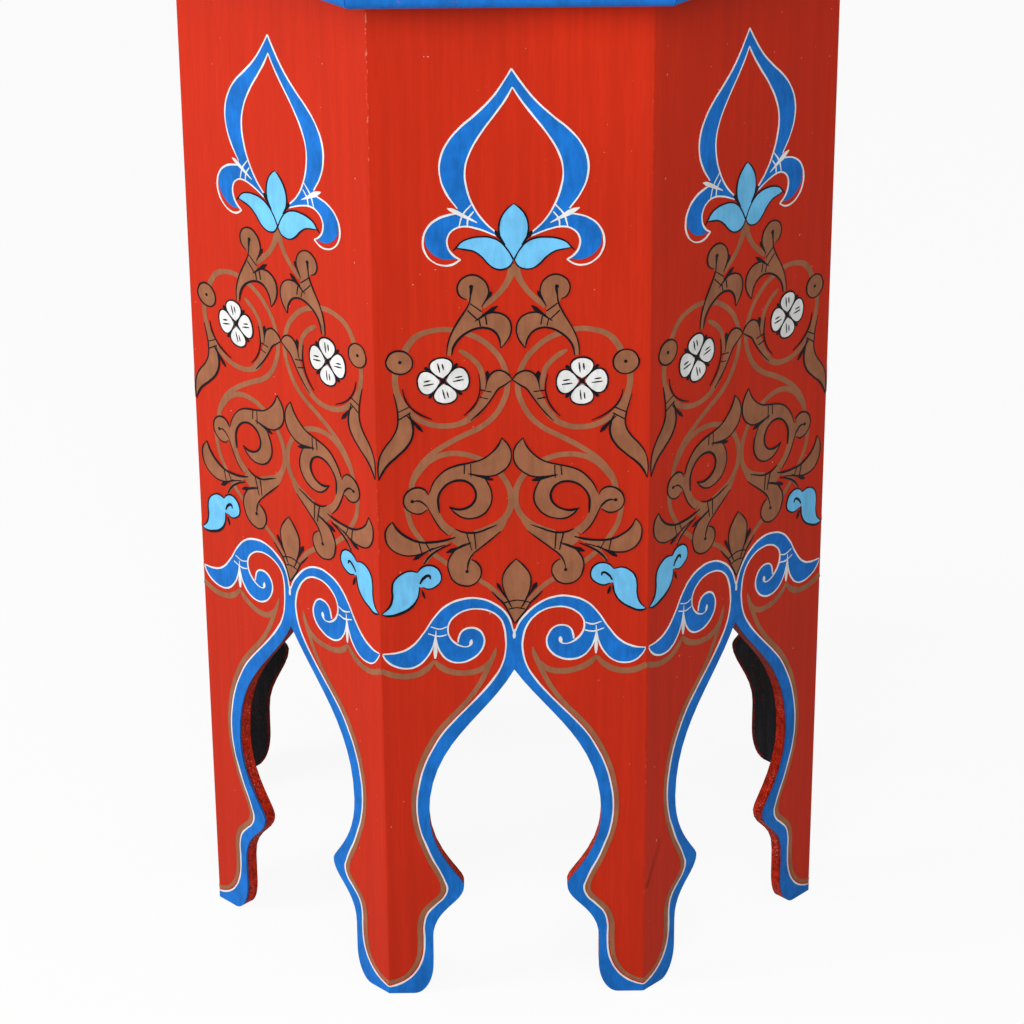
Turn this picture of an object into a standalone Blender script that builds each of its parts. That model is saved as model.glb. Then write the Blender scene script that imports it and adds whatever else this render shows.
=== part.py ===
"""Octagonal painted side table: eight boards with a cut arch each, mitred into a drum, and an overhanging top."""

import math

import bmesh
import bpy
from mathutils import Matrix

# Drum
SIDES = 8
BODY_ACROSS_FLATS = 0.310
PANEL_HEIGHT = 0.536
PANEL_THICKNESS = 0.007

# Arch cut from each board: widths of the half leg from the corner, heights one above the other
FOOT_WIDTH = 0.0128
FOOT_ROUND_HEIGHT = 0.018
ANKLE_WIDTH = 0.0226
ANKLE_RISE = 0.015
KNOB_WIDTH = 0.0385
KNOB_RISE = 0.031
NECK_WIDTH = 0.0218
NECK_RISE = 0.042
ARCH_RISE = 0.082
APEX_REACH = 0.016
APEX_DROP = 0.025

# How far each curve keeps its direction, as a share of the rise it crosses
KNOB_EASE_BELOW = 0.58
KNOB_TIP_EASE_BELOW = 0.33
KNOB_TIP_EASE_ABOVE = 0.11
NECK_EASE_BELOW = 0.58
NECK_EASE_ABOVE = 0.50

# Top
BOARD_OVERHANG = 0.010
TOP_THICKNESS = 0.016
STRIP_WIDTH = 0.010
STRIP_DROP = 0.005
STRIP_ROUND = 0.005

# Blocks and cleats inside
CORNER_BLOCK_LEG = 0.0155
CORNER_BLOCK_LENGTH = 0.300
CLEAT_DEPTH = 0.015
CLEAT_HEIGHT = 0.014
CLEAT_END_GAP = 0.0015

# Screws up through the cleats, brads out through them
SCREW_SHANK = 0.0035
SCREW_HEAD = 0.0072
SCREW_HEAD_HEIGHT = 0.0024
SCREW_POINT = 0.003
SCREW_COVER = 0.006
BRAD_SHANK = 0.0016
BRAD_HEAD = 0.0030
BRAD_HEAD_THICKNESS = 0.0008
BRAD_POINT = 0.002
BRAD_COVER = 0.0025
BRAD_END_DISTANCE = 0.012

# Clearances
GLUE_GAP = 0.0003
FIT_GAP = 0.0002
CUT_PAST = 0.004

# Fineness of the facets
ARCH_FACETS = 12
ROUND_FACETS = 6
SCREW_FACETS = 12
BRAD_FACETS = 8

# Sizes that follow
SECTOR = 2 * math.pi / SIDES
HALF_SECTOR = SECTOR / 2
APOTHEM = BODY_ACROSS_FLATS / 2
HALF_PANEL = APOTHEM * math.tan(HALF_SECTOR)
INNER_APOTHEM = APOTHEM - PANEL_THICKNESS
INNER_CORNER = INNER_APOTHEM / math.cos(HALF_SECTOR)
ANKLE_TOP = FOOT_ROUND_HEIGHT + ANKLE_RISE
KNOB_TIP = ANKLE_TOP + KNOB_RISE
NECK = KNOB_TIP + NECK_RISE
ARCH_TOP = NECK + ARCH_RISE
BOARD_APOTHEM = APOTHEM + BOARD_OVERHANG
TOP_APOTHEM = BOARD_APOTHEM + GLUE_GAP + STRIP_WIDTH
BOARD_BOTTOM = PANEL_HEIGHT + GLUE_GAP
STRIP_HEIGHT = TOP_THICKNESS + STRIP_DROP
CLEAT_BACK = INNER_APOTHEM - GLUE_GAP
CLEAT_FRONT = CLEAT_BACK - CLEAT_DEPTH
BLOCK_SEAT = GLUE_GAP / math.sin(math.pi / 2 - HALF_SECTOR)
BLOCK_REACH = CORNER_BLOCK_LEG + BLOCK_SEAT
CLEAT_LENGTH = 2 * (INNER_APOTHEM * math.tan(HALF_SECTOR) - BLOCK_REACH - CLEAT_END_GAP)
CLEAT_BOTTOM = PANEL_HEIGHT - CLEAT_HEIGHT
BRAD_OFFSET = CLEAT_LENGTH / 2 - BRAD_END_DISTANCE
BRAD_HEIGHT = PANEL_HEIGHT - CLEAT_HEIGHT / 2
BRAD_SEAT = CLEAT_FRONT - FIT_GAP
BRAD_LENGTH = INNER_APOTHEM - BRAD_SEAT + PANEL_THICKNESS - BRAD_COVER
SCREW_RADIUS = (CLEAT_BACK + CLEAT_FRONT) / 2
SCREW_LENGTH = CLEAT_HEIGHT + GLUE_GAP + TOP_THICKNESS - SCREW_COVER
QUARTER_ROUND = 4 / 3 * (math.sqrt(2) - 1)

PAINTS = {
    "red panel paint": ((0.546, 0.026, 0.013), 0.45, 0.0),
    "black inside paint": ((0.012, 0.011, 0.011), 0.75, 0.0),
    "red top paint": ((0.546, 0.026, 0.013), 0.40, 0.0),
    "blue edge paint": ((0.017, 0.171, 0.645), 0.40, 0.0),
    "zinc steel": ((0.60, 0.60, 0.58), 0.35, 1.0),
}


def clear_scene():
    for obj in list(bpy.data.objects):
        bpy.data.objects.remove(obj, do_unlink=True)


def new_collection(name):
    collection = bpy.data.collections.new(name)
    bpy.context.scene.collection.children.link(collection)
    return collection


def new_material(name, colour, roughness, metallic):
    material = bpy.data.materials.new(name)
    material.use_nodes = True
    shader = material.node_tree.nodes["Principled BSDF"]
    shader.inputs["Base Color"].default_value = (*colour, 1.0)
    shader.inputs["Roughness"].default_value = roughness
    shader.inputs["Metallic"].default_value = metallic
    material.diffuse_color = (*colour, 1.0)
    return material


def evaluated_mesh(obj, name):
    """The object's mesh with its modifiers applied, its caps welded and its faces pointing out."""
    bpy.context.view_layer.update()
    graph = bpy.context.evaluated_depsgraph_get()
    mesh = bpy.data.meshes.new_from_object(obj.evaluated_get(graph))
    mesh.name = name
    shape = bmesh.new()
    shape.from_mesh(mesh)
    bmesh.ops.remove_doubles(shape, verts=shape.verts, dist=1e-6)
    bmesh.ops.recalc_face_normals(shape, faces=shape.faces)
    shape.to_mesh(mesh)
    shape.free()
    return mesh


def outline_mesh(name, points, thickness, facets):
    """A flat closed outline of Bezier points, made solid: each is a point, the handle before it and
    the handle after it, with None for a handle on a straight side."""
    curve = bpy.data.curves.new(name, "CURVE")
    curve.dimensions = "2D"
    curve.fill_mode = "BOTH"
    curve.extrude = thickness / 2
    curve.resolution_u = facets
    spline = curve.splines.new("BEZIER")
    spline.use_cyclic_u = True
    spline.bezier_points.add(len(points) - 1)
    for knot, (point, before, after) in zip(spline.bezier_points, points):
        knot.handle_left_type = "FREE" if before else "VECTOR"
        knot.handle_right_type = "FREE" if after else "VECTOR"
        knot.co = (*point, 0.0)
        if before:
            knot.handle_left = (*before, 0.0)
        if after:
            knot.handle_right = (*after, 0.0)
    obj = bpy.data.objects.new(name, curve)
    bpy.context.scene.collection.objects.link(obj)
    mesh = evaluated_mesh(obj, name)
    bpy.data.objects.remove(obj, do_unlink=True)
    return mesh


def polygon_mesh(name, corners, thickness):
    """A flat polygon made solid, as an outline of straight sides."""
    return outline_mesh(name, [(corner, None, None) for corner in corners], thickness, 1)


def profile_mesh(name, rows):
    """A profile of (radius, height) rows for a Screw modifier, from its top to its bottom."""
    mesh = bpy.data.meshes.new(name)
    edges = [(index, index + 1) for index in range(len(rows) - 1)]
    mesh.from_pydata([(radius, 0.0, height) for radius, height in rows], edges, [])
    return mesh


def turn(obj, facets):
    screw = obj.modifiers.new("turn", "SCREW")
    screw.axis = "Z"
    screw.steps = facets
    screw.render_steps = facets
    screw.use_merge_vertices = True
    screw.merge_threshold = 1e-5
    return obj


def rod_mesh(name, radius, bottom, top, facets):
    """A plain round rod up the Z axis."""
    shape = bmesh.new()
    bmesh.ops.create_cone(
        shape, cap_ends=True, segments=facets, radius1=radius, radius2=radius, depth=top - bottom
    )
    bmesh.ops.translate(shape, verts=shape.verts, vec=(0.0, 0.0, (top + bottom) / 2))
    mesh = bpy.data.meshes.new(name)
    shape.to_mesh(mesh)
    shape.free()
    return mesh


class Table:
    """The collections, materials and parent that the pieces share."""

    def __init__(self):
        self.parts = new_collection("painted side table")
        self.cutters = new_collection("painted side table cutters")
        self.paints = {name: new_material(name, *look) for name, look in PAINTS.items()}
        self.root = bpy.data.objects.new("painted side table", None)
        self.parts.objects.link(self.root)

    def place(self, name, mesh, paint, matrix):
        obj = bpy.data.objects.new(name, mesh)
        self.parts.objects.link(obj)
        obj.parent = self.root
        obj.location = matrix.to_translation()
        obj.rotation_euler = matrix.to_euler()
        mesh.materials.clear()
        mesh.materials.append(self.paints[paint])
        return obj

    def cutter(self, name, mesh, matrix=Matrix.Identity(4)):
        obj = bpy.data.objects.new(name, mesh)
        self.cutters.objects.link(obj)
        obj.location = matrix.to_translation()
        obj.rotation_euler = matrix.to_euler()
        obj.hide_render = True
        obj.display_type = "WIRE"
        return obj

    def worked(self, name, mesh, matrix, keep=(), remove=()):
        """The mesh in its place, kept within some cutters and drilled by others."""
        blank = bpy.data.objects.new(name + " blank", mesh)
        bpy.context.scene.collection.objects.link(blank)
        blank.matrix_world = matrix
        work = [("INTERSECT", other) for other in keep]
        work += [("DIFFERENCE", other) for other in remove]
        for operation, other in work:
            boolean = blank.modifiers.new(other.name, "BOOLEAN")
            boolean.operation = operation
            boolean.solver = "EXACT"
            boolean.object = other
        done = evaluated_mesh(blank, name)
        done.transform(matrix)
        bpy.data.objects.remove(blank, do_unlink=True)
        return done


def round_z(index, share=0.0):
    """The turn that carries the front side to the side with this index."""
    return Matrix.Rotation((index + share) * SECTOR, 4, "Z")


def stand(y, z=0.0):
    """Carries a flat outline from the XY plane to an upright one at this y and height."""
    return Matrix.Translation((0.0, y, z)) @ Matrix.Rotation(math.pi / 2, 4, "X")


def sector_cutter(table, name, apothem, bottom, top):
    """The wedge of one side, drawn in from its two mitre planes by half the glue gap."""
    apex = GLUE_GAP / 2 / math.sin(HALF_SECTOR)
    depth = apothem + CUT_PAST - apex
    reach = depth * math.tan(HALF_SECTOR)
    corners = [(0.0, -apex), (-reach, -apex - depth), (reach, -apex - depth)]
    mesh = polygon_mesh(name, corners, top - bottom + 2 * CUT_PAST)
    return table.cutter(name, mesh, Matrix.Translation((0.0, 0.0, (top + bottom) / 2)))


def half_arch():
    """The arch's right edge from the floor to the apex: point, handle before, handle after."""
    foot = HALF_PANEL - FOOT_WIDTH
    ankle = HALF_PANEL - ANKLE_WIDTH
    knob = HALF_PANEL - KNOB_WIDTH
    neck = HALF_PANEL - NECK_WIDTH
    foot_handle = foot - QUARTER_ROUND * (foot - ankle)
    round_handle = FOOT_ROUND_HEIGHT * (1 - QUARTER_ROUND)
    return [
        ((foot, 0.0), None, (foot_handle, 0.0)),
        ((ankle, FOOT_ROUND_HEIGHT), (ankle, round_handle), None),
        ((ankle, ANKLE_TOP), None, (ankle, ANKLE_TOP + KNOB_EASE_BELOW * KNOB_RISE)),
        (
            (knob, KNOB_TIP),
            (knob, KNOB_TIP - KNOB_TIP_EASE_BELOW * KNOB_RISE),
            (knob, KNOB_TIP + KNOB_TIP_EASE_ABOVE * NECK_RISE),
        ),
        (
            (neck, NECK),
            (neck, NECK - NECK_EASE_BELOW * NECK_RISE),
            (neck, NECK + NECK_EASE_ABOVE * ARCH_RISE),
        ),
    ]


def panel_outline():
    """The whole board, past its mitres at the sides, with the arch open at the floor."""
    right = half_arch()
    left = [[other and (-other[0], other[1]) for other in knot] for knot in reversed(right)]
    left = [(point, after, before) for point, before, after in left]
    apex_drop = ARCH_TOP - APEX_DROP
    apex = [((0.0, ARCH_TOP), (APEX_REACH, apex_drop), (-APEX_REACH, apex_drop))]
    edge = HALF_PANEL + CUT_PAST
    rest = [(-edge, 0.0), (-edge, PANEL_HEIGHT), (edge, PANEL_HEIGHT), (edge, 0.0)]
    return right + apex + left + [(corner, None, None) for corner in rest]


def brad_places():
    return [-BRAD_OFFSET, BRAD_OFFSET]


def make_panels(table):
    wedge = sector_cutter(table, "panel mitres", APOTHEM, 0.0, PANEL_HEIGHT)
    hole = rod_mesh(
        "brad hole in panel",
        BRAD_SHANK / 2 + FIT_GAP,
        INNER_APOTHEM - CUT_PAST,
        APOTHEM - BRAD_COVER + FIT_GAP,
        BRAD_FACETS,
    )
    holes = [
        table.cutter(
            "brad hole in panel",
            hole,
            Matrix.Translation((place, 0.0, 0.0)) @ stand(0.0, BRAD_HEIGHT),
        )
        for place in brad_places()
    ]
    board = outline_mesh("panel board", panel_outline(), PANEL_THICKNESS, ARCH_FACETS)
    middle = stand(-(APOTHEM + INNER_APOTHEM) / 2)
    mesh = table.worked("side panel", board, middle, keep=[wedge], remove=holes)
    for index in range(SIDES):
        table.place(f"side_panel_{index + 1}", mesh, "red panel paint", round_z(index))


def make_corner_blocks(table):
    seat = -INNER_CORNER + BLOCK_SEAT
    reach = CORNER_BLOCK_LEG * math.cos(HALF_SECTOR)
    rise = CORNER_BLOCK_LEG * math.sin(HALF_SECTOR)
    corners = [(0.0, seat), (reach, seat + rise), (-reach, seat + rise)]
    mesh = polygon_mesh("corner block", corners, CORNER_BLOCK_LENGTH)
    mesh.transform(Matrix.Translation((0.0, 0.0, PANEL_HEIGHT - CORNER_BLOCK_LENGTH / 2)))
    for index in range(SIDES):
        name = f"corner_block_{index + 1}"
        table.place(name, mesh, "black inside paint", round_z(index, 0.5))


def make_cleats(table):
    shape = bmesh.new()
    bmesh.ops.create_cube(shape, size=1.0)
    size = Matrix.Diagonal((CLEAT_LENGTH, CLEAT_DEPTH, CLEAT_HEIGHT, 1.0))
    bmesh.ops.transform(shape, matrix=size, verts=shape.verts)
    bar = bpy.data.meshes.new("cleat bar")
    shape.to_mesh(bar)
    shape.free()
    shank = SCREW_SHANK / 2 + FIT_GAP
    head = SCREW_HEAD / 2 + FIT_GAP
    sink = profile_mesh(
        "screw hole in cleat",
        [
            (0.0, CLEAT_HEIGHT + CUT_PAST),
            (shank, CLEAT_HEIGHT + CUT_PAST),
            (shank, SCREW_HEAD_HEIGHT + FIT_GAP),
            (head, FIT_GAP),
            (head, -CUT_PAST),
            (0.0, -CUT_PAST),
        ],
    )
    screw_place = Matrix.Translation((0.0, -SCREW_RADIUS, CLEAT_BOTTOM))
    cutters = [turn(table.cutter("screw hole in cleat", sink, screw_place), SCREW_FACETS)]
    hole = rod_mesh(
        "brad hole in cleat",
        BRAD_SHANK / 2 + FIT_GAP,
        CLEAT_FRONT - CUT_PAST,
        CLEAT_BACK + CUT_PAST,
        BRAD_FACETS,
    )
    for place in brad_places():
        matrix = Matrix.Translation((place, 0.0, 0.0)) @ stand(0.0, BRAD_HEIGHT)
        cutters.append(table.cutter("brad hole in cleat", hole, matrix))
    middle = Matrix.Translation((0.0, -SCREW_RADIUS, PANEL_HEIGHT - CLEAT_HEIGHT / 2))
    mesh = table.worked("top cleat", bar, middle, remove=cutters)
    for index in range(SIDES):
        table.place(f"top_cleat_{index + 1}", mesh, "black inside paint", round_z(index))


def make_top(table):
    shape = bmesh.new()
    corner = BOARD_APOTHEM / math.cos(HALF_SECTOR)
    bmesh.ops.create_cone(
        shape, cap_ends=True, segments=SIDES, radius1=corner, radius2=corner, depth=TOP_THICKNESS
    )
    bmesh.ops.rotate(shape, verts=shape.verts, matrix=Matrix.Rotation(HALF_SECTOR, 3, "Z"))
    board = bpy.data.meshes.new("top blank")
    shape.to_mesh(board)
    shape.free()
    depth = TOP_THICKNESS - SCREW_COVER + FIT_GAP
    pilot = rod_mesh(
        "pilot hole in top",
        SCREW_SHANK / 2 + FIT_GAP,
        BOARD_BOTTOM - CUT_PAST,
        BOARD_BOTTOM + depth,
        SCREW_FACETS,
    )
    pilots = [
        table.cutter(
            "pilot hole in top",
            pilot,
            round_z(index) @ Matrix.Translation((0.0, -SCREW_RADIUS, 0.0)),
        )
        for index in range(SIDES)
    ]
    middle = Matrix.Translation((0.0, 0.0, BOARD_BOTTOM + TOP_THICKNESS / 2))
    mesh = table.worked("top board", board, middle, remove=pilots)
    table.place("top_board", mesh, "red top paint", Matrix.Identity(4))


def make_edge_strips(table):
    inner = -(TOP_APOTHEM - STRIP_WIDTH)
    outer = -TOP_APOTHEM
    bottom = BOARD_BOTTOM - STRIP_DROP
    top = bottom + STRIP_HEIGHT
    curve = min(STRIP_ROUND, 0.45 * STRIP_HEIGHT, 0.9 * STRIP_WIDTH)
    pull = curve * (1 - QUARTER_ROUND)
    points = [
        ((inner, bottom), None, None),
        ((inner, top), None, None),
        ((outer + curve, top), None, (outer + pull, top)),
        ((outer, top - curve), (outer, top - pull), None),
        ((outer, bottom + curve), None, (outer, bottom + pull)),
        ((outer + curve, bottom), (outer + pull, bottom), None),
    ]
    length = 2 * TOP_APOTHEM * math.tan(HALF_SECTOR) + CUT_PAST
    bar = outline_mesh("strip bar", points, length, ROUND_FACETS)
    wedge = sector_cutter(table, "strip mitres", TOP_APOTHEM, bottom, top)
    turned = Matrix.Rotation(math.pi / 2, 4, "Z") @ Matrix.Rotation(math.pi / 2, 4, "X")
    mesh = table.worked("top edge strip", bar, turned, keep=[wedge])
    for index in range(SIDES):
        table.place(f"top_edge_strip_{index + 1}", mesh, "blue edge paint", round_z(index))


def make_screws(table):
    mesh = profile_mesh(
        "top screw",
        [
            (0.0, SCREW_LENGTH),
            (SCREW_SHANK / 2, SCREW_LENGTH - SCREW_POINT),
            (SCREW_SHANK / 2, SCREW_HEAD_HEIGHT),
            (SCREW_HEAD / 2, 0.0),
            (0.0, 0.0),
        ],
    )
    place = Matrix.Translation((0.0, -SCREW_RADIUS, CLEAT_BOTTOM))
    for index in range(SIDES):
        matrix = round_z(index) @ place
        turn(table.place(f"top_screw_{index + 1}", mesh, "zinc steel", matrix), SCREW_FACETS)


def make_brads(table):
    mesh = profile_mesh(
        "cleat brad",
        [
            (0.0, BRAD_LENGTH),
            (BRAD_SHANK / 2, BRAD_LENGTH - BRAD_POINT),
            (BRAD_SHANK / 2, 0.0),
            (BRAD_HEAD / 2, 0.0),
            (BRAD_HEAD / 2, -BRAD_HEAD_THICKNESS),
            (0.0, -BRAD_HEAD_THICKNESS),
        ],
    )
    for index in range(SIDES):
        for side, place in zip("ab", brad_places()):
            seat = Matrix.Translation((place, 0.0, 0.0)) @ stand(-BRAD_SEAT, BRAD_HEIGHT)
            matrix = round_z(index) @ seat
            name = f"cleat_brad_{index + 1}{side}"
            turn(table.place(name, mesh, "zinc steel", matrix), BRAD_FACETS)


def main():
    clear_scene()
    table = Table()
    make_panels(table)
    make_corner_blocks(table)
    make_cleats(table)
    make_top(table)
    make_edge_strips(table)
    make_screws(table)
    make_brads(table)


main()
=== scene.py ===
"""The painted side table: red boards with brown scrolls, blue bands and white flowers."""

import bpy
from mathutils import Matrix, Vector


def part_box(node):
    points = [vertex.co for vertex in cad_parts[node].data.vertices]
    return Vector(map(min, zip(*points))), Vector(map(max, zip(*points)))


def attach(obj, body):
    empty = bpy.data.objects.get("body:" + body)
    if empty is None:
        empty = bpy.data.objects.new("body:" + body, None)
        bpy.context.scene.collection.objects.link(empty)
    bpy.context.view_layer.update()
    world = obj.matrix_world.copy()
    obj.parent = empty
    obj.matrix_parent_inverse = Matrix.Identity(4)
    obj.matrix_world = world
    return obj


bl_info = {
    "name": "Painted side table",
    "version": (1, 0, 0),
    "blender": (4, 5, 0),
    "location": "View3D > Sidebar > Side table",
    "description": "Paints an eight-sided table: red boards, brown scrolls, blue bands",
    "category": "Object",
}

import math
from collections import namedtuple

import bmesh
import bpy
from bpy.props import FloatProperty, FloatVectorProperty, IntProperty, PointerProperty
from mathutils import Matrix, Vector

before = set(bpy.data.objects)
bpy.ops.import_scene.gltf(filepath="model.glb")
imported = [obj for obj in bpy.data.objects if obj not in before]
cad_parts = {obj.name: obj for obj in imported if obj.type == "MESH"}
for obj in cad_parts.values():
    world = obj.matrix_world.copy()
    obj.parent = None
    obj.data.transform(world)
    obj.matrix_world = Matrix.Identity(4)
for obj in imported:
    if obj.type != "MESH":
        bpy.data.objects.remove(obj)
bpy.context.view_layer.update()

MM = 0.001
SIDES = 8
SECTOR = 2 * math.pi / SIDES
BOARD_LOW, BOARD_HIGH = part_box("side_panel_1")
FACE = -BOARD_LOW[1]
BOARD_HEIGHT = BOARD_HIGH[2]
BOARD_THICKNESS = BOARD_HIGH[1] - BOARD_LOW[1]
HALF = FACE * math.tan(SECTOR / 2) / MM
TABLE_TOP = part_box("top_board")[1][2]
BODY = "root"

# Points of the ornament are in millimetres on one board: how far from its middle line, and how high.
# They give the right half, and the left half is its mirror image.

# Arch cut from the board: point, handle before, handle after
FOOT, ANKLE, KNOB, NECK = HALF - 12.8, HALF - 22.6, HALF - 38.5, HALF - 21.8
ARCH_EDGE = [
    ((FOOT, 0), None, (FOOT - 0.5523 * (FOOT - ANKLE), 0)),
    ((ANKLE, 18), (ANKLE, 8.06), None),
    ((ANKLE, 33), None, (ANKLE, 50.98)),
    ((KNOB, 64), (KNOB, 53.77), (KNOB, 68.62)),
    ((NECK, 106), (NECK, 81.64), (NECK, 147)),
    ((0, 188), (16, 163), None),
]

# The rim behind the arch: how far each knot stands off the arch's edge, and the brush's width
RIM_SHIFTS, RIM_WIDTH = [(0, 1.3)] + [(1.2, 0)] * 4 + [(0, 2.2)], 2.2

# The red over a mitred corner: its height at the very corner, then its steps beside it as reach and height
SEAM_CREST, SEAM_STEPS = 0.022, [(1.1, 0.108), (3.0, 0.07), (7.0, 0.012)]

# Blue ogee and its curl
OGEE_OUTER = [(0, 497.5), (3.6, 491.7), (10, 482.8), (18, 474.8), (24.5, 469), (30, 462.2), (33.4, 454.3),
              (33.7, 445.5), (31, 437.3), (26, 429.6)]
CURL_OUTER = [(26, 427.2), (30, 426.5), (35, 424.8), (40, 420.5), (42.2, 413.7), (41, 408), (37.8, 404),
              (33.5, 401.9), (29, 402), (25, 404.3)]
CURL_BLUE = [(26, 427.2), (30, 426.4), (35, 424.5), (39.6, 420.1), (41.1, 413.8), (39.2, 409.2), (36.1, 406.3),
             (32.6, 404.7), (29.1, 404.5), (26.2, 405.2)]
CURL_INNER = [(25, 404.3), (28.4, 406.8), (30.8, 411), (30.5, 416.2), (27.6, 419.4), (23.4, 420.6),
              (17, 419.4), (8, 415.6)]
OGEE_INNER = [(8, 417), (13.9, 423), (18.6, 430.5), (21.8, 440), (22.5, 448.5), (20.4, 456.8), (15.3, 466.2),
              (7.2, 477.3), (3, 483.4), (0, 488.7)]
OGEE_LINES = [OGEE_OUTER, CURL_OUTER, CURL_INNER, OGEE_INNER]

# Light blue lotus
LOTUS_MIDDLE = [(0, 431.8), (3, 429.3), (5.6, 425.5), (6.8, 421), (6.6, 416.5), (5, 412), (2.2, 407.8), (0, 404)]
LOTUS_UPPER = [(0.3, 403.6), (2.8, 408.7), (6.4, 412.7), (10.9, 414.8), (15.7, 415.2), (20.6, 414.7),
               (24.8, 412.9), (27.2, 410.2)]
LOTUS_LOWER = [(27.2, 410.2), (23.2, 409.3), (19.1, 408.2), (15.4, 405.5), (11.8, 401.6), (8.4, 399.5),
               (4.8, 399.3), (1.8, 400.8), (0.3, 403.6)]

# Brown leaf that curls over each flower
OVER_BACK = [(30.9, 356.5), (30.5, 362.5), (28.6, 368.5), (26, 373.5), (23.2, 378.3), (21, 383)]
OVER_HEAD = [(22.2, 384.9), (24.8, 386.3), (26.4, 389.4), (26, 393), (23.4, 395.9), (19.3, 396.9), (15.2, 395),
             (12.7, 391.3), (12.5, 386.5), (15.2, 381.2)]
OVER_SPIRAL = [(20.5, 386.5, 0.75), (20.2, 389.6, 1.4), (20.1, 391, 1.2)]
OVER_HOOK = [(15, 377.2), (12, 378.1), (9, 378.3), (5.5, 377.4), (2.6, 375), (1.2, 371), (1.8, 366.5),
             (3.7, 363), (5.7, 360.4)]
OVER_INSIDE = [(5.7, 360.4), (6.7, 365.2), (9.3, 368.9), (12.8, 370.5), (16.8, 370.4), (21.4, 368.4),
               (25.4, 365), (27.8, 361), (28.7, 356.5)]

# Small brown leaf that meets its twin on the middle line
MEET_TOP = [(0, 344.4), (2.3, 347.4), (5.9, 348.9), (9.3, 347.7), (11.6, 344), (12.6, 339)]
MEET_LOW = [(0, 344.4), (3.2, 341.8), (6.4, 339.5), (9, 335.5), (12.3, 330.5), (16, 325.9), (19.4, 322.5)]
MEET_EDGE = [(15.9, 347), (15.2, 341), (16, 335), (18.6, 329.4), (22.5, 325)]

# Brown leaf that runs down to the corner
CORNER_OUTER = [(55.7, 336), (54.3, 330), (53.5, 324.5), (53.7, 319), (56, 313.8), (59.8, 308.8), (62.4, 304),
                (63.5, 298), (63.2, 291.3)]
CORNER_INNER = [(48.4, 326), (46.6, 320.5), (46.4, 314.8), (49, 309), (54, 303.8), (58.8, 299.2), (61.6, 295),
                (63.2, 291.3)]
CORNER_SHOULDER = [(51.6, 338.6), (50.2, 333.2), (47.2, 328.6), (42.8, 325), (37.5, 322.5)]

# Large brown scroll: crest leaf, ring and crescent
CREST_TOP = [(4.8, 313.3), (6.8, 309), (10.4, 304.6), (15, 301.4), (20.9, 299.6), (26, 298.4), (31.4, 296.1),
             (35, 293), (38, 288.9), (39.8, 284.3)]
CREST_FRONT = [(4.8, 313.3), (1.6, 309), (0.5, 304.5), (1.6, 299), (5.4, 294.9), (10, 292.9)]
CREST_FOLD = [(15.5, 293.1), (20.8, 294.1)]
CRESCENT_OUTER = [(14, 292.4), (11.8, 288.8), (10.2, 284), (10.3, 279.5), (11.7, 276.4), (14.8, 273), (19.6, 271),
                  (24.3, 271.2), (28, 273.4), (30.9, 276.7)]
CRESCENT_INNER = [(30.9, 276.7), (27.7, 275.5), (23.4, 275.9), (19.8, 278.2), (18, 282), (18.7, 286), (21.2, 289),
                  (25, 290.4), (29.8, 289.4), (33.4, 286.5), (35.8, 282), (36, 277), (34.6, 271.5), (31.4, 267.3),
                  (28, 265)]
RING_OUTER = [(40.9, 276.4), (38.7, 271.3), (35.9, 266.4), (32, 262.3)]
LOOP_EDGE = [(40.4, 283.2), (42.2, 286), (45.8, 287.1), (49.8, 285.3), (52, 281.4), (51.5, 277.2), (48.5, 274.4),
             (44.8, 273.8), (41.6, 275.7)]
LOOP_SPIRAL = [(47.9, 280.1), (45.1, 280.3), (42.2, 278.2), (40.9, 276.4)]

# Brown hook leaf and lower curl
HOOK_OUTER = [(57.9, 269.9), (60.3, 266.4), (60.9, 261.8), (59.2, 256.6), (55, 253), (49.5, 252.1), (44, 253.5),
              (39.5, 255.4), (33.5, 257.4)]
HOOK_INNER = [(57.9, 269.9), (55.4, 265.2), (51.3, 261.6), (46, 259.3), (39, 259), (33, 259.8), (28.5, 261.2)]
JOINT_TOP = [(8.2, 267.6), (12.5, 265.9), (17, 264), (21.4, 263.3), (25.5, 264), (28.3, 265.4)]
CURL_LEFT = [(6.6, 264.3), (11.9, 259.7), (17.2, 255.2), (21.1, 251.6)]
CURL_SPIRAL = [(23.2, 247.5), (23.9, 243.6)]
CURL_RIGHT = [(21.4, 258.3), (26.8, 256.2), (30.9, 252.2), (33, 247.3), (32.6, 242.7), (30.3, 238.2), (25.9, 235.8),
              (21.2, 236.3), (17.8, 239.8), (17, 244.4), (18.9, 247.8), (21.6, 249.4)]

# Light blue leaf
BLUE_HEAD = [(47.5, 243), (45.4, 245.5), (42.2, 246.6), (38.8, 245.6), (36.7, 242.5), (36.6, 238.6), (38.6, 235.9),
             (42.3, 234.2), (45.4, 235.2)]
BLUE_INNER = [(46.9, 235.4), (47, 233), (47.8, 229.4), (50.5, 225, 1), (55.5, 221.6, 1.3), (60.4, 219.9, 1.2),
              (63.5, 220.6, 0.6)]
BLUE_OUTER = [(63.5, 220.6), (60.2, 224.5), (58.9, 229.5), (58.9, 234.5), (58, 238.9), (55, 242.3), (51.2, 243.8),
              (47.5, 243)]

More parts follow.
